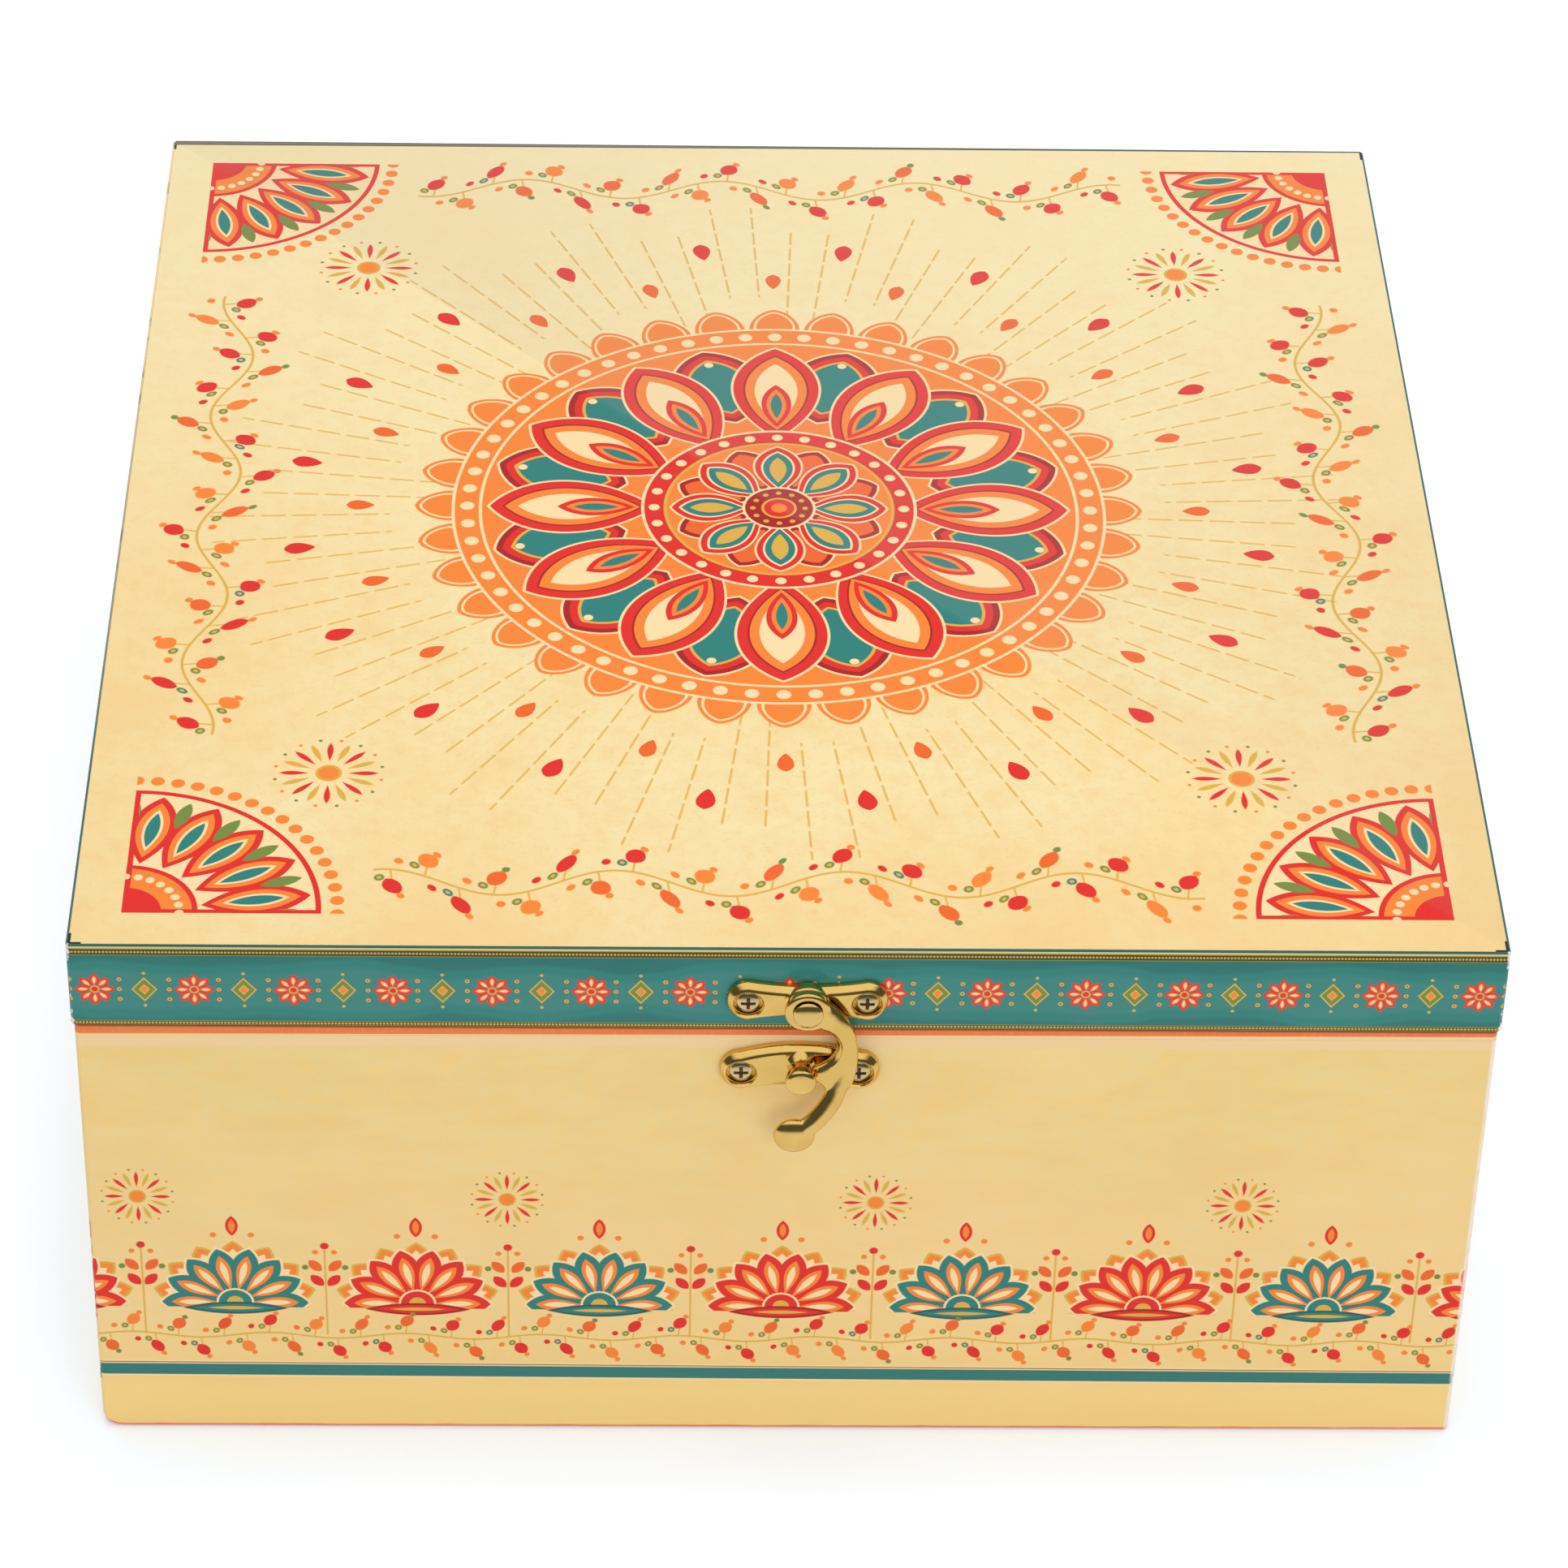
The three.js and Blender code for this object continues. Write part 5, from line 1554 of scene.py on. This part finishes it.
def make_camera():
    forward = Vector((-math.sin(CAMERA_AZIMUTH) * math.cos(CAMERA_DROP),
                      math.cos(CAMERA_AZIMUTH) * math.cos(CAMERA_DROP), -math.sin(CAMERA_DROP)))
    level = Vector((math.cos(CAMERA_AZIMUTH), math.sin(CAMERA_AZIMUTH), 0.0))
    upright = level.cross(forward)
    right = level * math.cos(CAMERA_ROLL) + upright * math.sin(CAMERA_ROLL)
    up = upright * math.cos(CAMERA_ROLL) - level * math.sin(CAMERA_ROLL)
    lens_data = bpy.data.cameras.new("camera")
    lens_data.lens = CAMERA_LENS
    lens_data.sensor_width = SENSOR
    lens_data.clip_start = CLIP_START
    camera = workpiece("camera", lens_data)
    turn = Matrix((right, up, -forward)).transposed().to_4x4()
    camera.matrix_world = Matrix.Translation(CAMERA_PLACE) @ turn
    bpy.context.scene.camera = camera


FLOOR_REACH = 30.0
FLOOR_DROP = 0.2 * MM
FLOOR_GREY = (0.86, 0.86, 0.86, 1.0)
FLOOR_SEEN = (0.97, 1.09, 1.26, 1.0)
FLOOR_GLOW = 0.16
FLOOR_GLINT = 0.88
GLINT_FRONT = -0.42
GLINT_HALF = 0.5
FAR_WHITE = 0.6
SKY_LEVEL = 0.72
DARK_ROOM = 0.1
ROOM_TOP = 0.55
ROOM_BACK = 0.2


def ray_kinds(paint):
    """1 for rays from the camera or through glass, and 1 for rays off shiny faces."""
    rays = paint.node("ShaderNodeLightPath").outputs
    kinds = ("Camera", "Glossy", "Transmission")
    seen, shiny, through = [Field(paint, rays[f"Is {kind} Ray"]) for kind in kinds]
    return seen.most(through), shiny


def make_floor():
    """A white sweep that keeps a faint shadow; shiny faces see it fall off into a dark room in front."""
    corners = [(x * FLOOR_REACH, y * FLOOR_REACH, 0.0) for x, y in ((-1, -1), (1, -1), (1, 1), (-1, 1))]
    mesh = make_mesh("floor", corners, [[0, 1, 2, 3]])
    material, paint = new_paint("pale floor")
    seen, shiny = ray_kinds(paint)
    x, y, _ = paint.split(paint.place())
    matt = paint.shader("BsdfDiffuse", Color=FLOOR_GREY)
    white = paint.shader("BsdfDiffuse", Color=FLOOR_SEEN)
    lift = paint.shader("Emission", Strength=FLOOR_GLOW)
    sweep = paint.node("ShaderNodeAddShader", (), {0: white, 1: lift}).outputs[0]
    away = paint.length(x, y).above(FAR_WHITE, FAR_WHITE)
    backdrop = paint.mix_shader(away, sweep, paint.shader("Emission", Strength=1.0))
    near = y.above(GLINT_FRONT, 0.2) * abs(x).below(GLINT_HALF, 0.3)
    mirrored = paint.shader("Emission", Color=near.scaled(FLOOR_GLINT - DARK_ROOM, DARK_ROOM))
    by_eye = paint.mix_shader(seen, matt, backdrop)
    paint.finish(paint.mix_shader(shiny, by_eye, mirrored))
    mesh.materials.append(material)
    floor = workpiece("floor", mesh)
    floor.location.z = -FLOOR_DROP


def make_sky():
    """A white studio; shiny faces see a dark room low in front, below the overhead light."""
    world = bpy.data.worlds.new("studio")
    world.use_nodes = True
    bpy.context.scene.world = world
    paint = Paint(world.node_tree)
    seen, shiny = ray_kinds(paint)
    _, y, z = paint.split(paint.field("ShaderNodeTexCoord", (), (), "Generated"))
    room = z.below(ROOM_TOP, 0.3) * y.below(ROOM_BACK, 0.4)
    mirrored = shiny * room.scaled(DARK_ROOM - 1, 1.0)
    brightness = seen.most(mirrored).most((1 - seen - shiny).scaled(SKY_LEVEL))
    paint.finish(paint.shader("Background", Color=brightness), "World")


# Softboxes: name, place, width, height and power
LAMP_AIM = Vector((0.0, 0.0, 0.05))
LAMPS = [
    ("overhead softbox", (0.0, 0.08, 1.5), 0.5, 0.5, 5.2),
    ("front softbox", (0.5, -1.6, 0.6), 0.9, 0.6, 4.6),
]


def make_lamps():
    for name, place, width, height, power in LAMPS:
        light = bpy.data.lights.new(name, "AREA")
        light.shape = "RECTANGLE"
        light.size = width
        light.size_y = height
        light.energy = power
        lamp = workpiece(name, light)
        lamp.location = place
        lamp.rotation_euler = (LAMP_AIM - Vector(place)).to_track_quat("-Z", "Y").to_euler()
        lamp.visible_glossy = False


def main():
    bpy.context.scene.view_settings.view_transform = "Standard"
    make_camera()
    make_floor()
    make_sky()
    make_lamps()
    paints = {
        "top": lid_top_print(),
        "side": side_print(),
        "band": band_print(),
        "lining": lining_paper(),
        "fibreboard": fibreboard(),
        "divider": divider_board(),
        "latch": metal("latch brass", tone(238, 201, 118), tone(212, 168, 82), 0.1, 0.07 * MM),
        "rivet": metal("rivet brass", tone(234, 202, 126), tone(210, 172, 96), 0.12, 0.04 * MM),
        "screw": screw_metal(),
        "hinge": metal("hinge brass", tone(222, 188, 108), tone(186, 148, 76), 0.2, 0.03 * MM),
        "cap": metal("gold tin", tone(222, 182, 98), tone(206, 162, 80), 0.2, 0.02 * MM),
        "glass": jar_glass(),
        "liner": liner_foam(),
    }
    make_boards(paints)
    make_papers(paints)
    make_linings(paints)
    make_divider(paints)
    make_latch(paints)
    make_hinges(paints)
    make_jars(paints)


main()
bpy.context.view_layer.update()
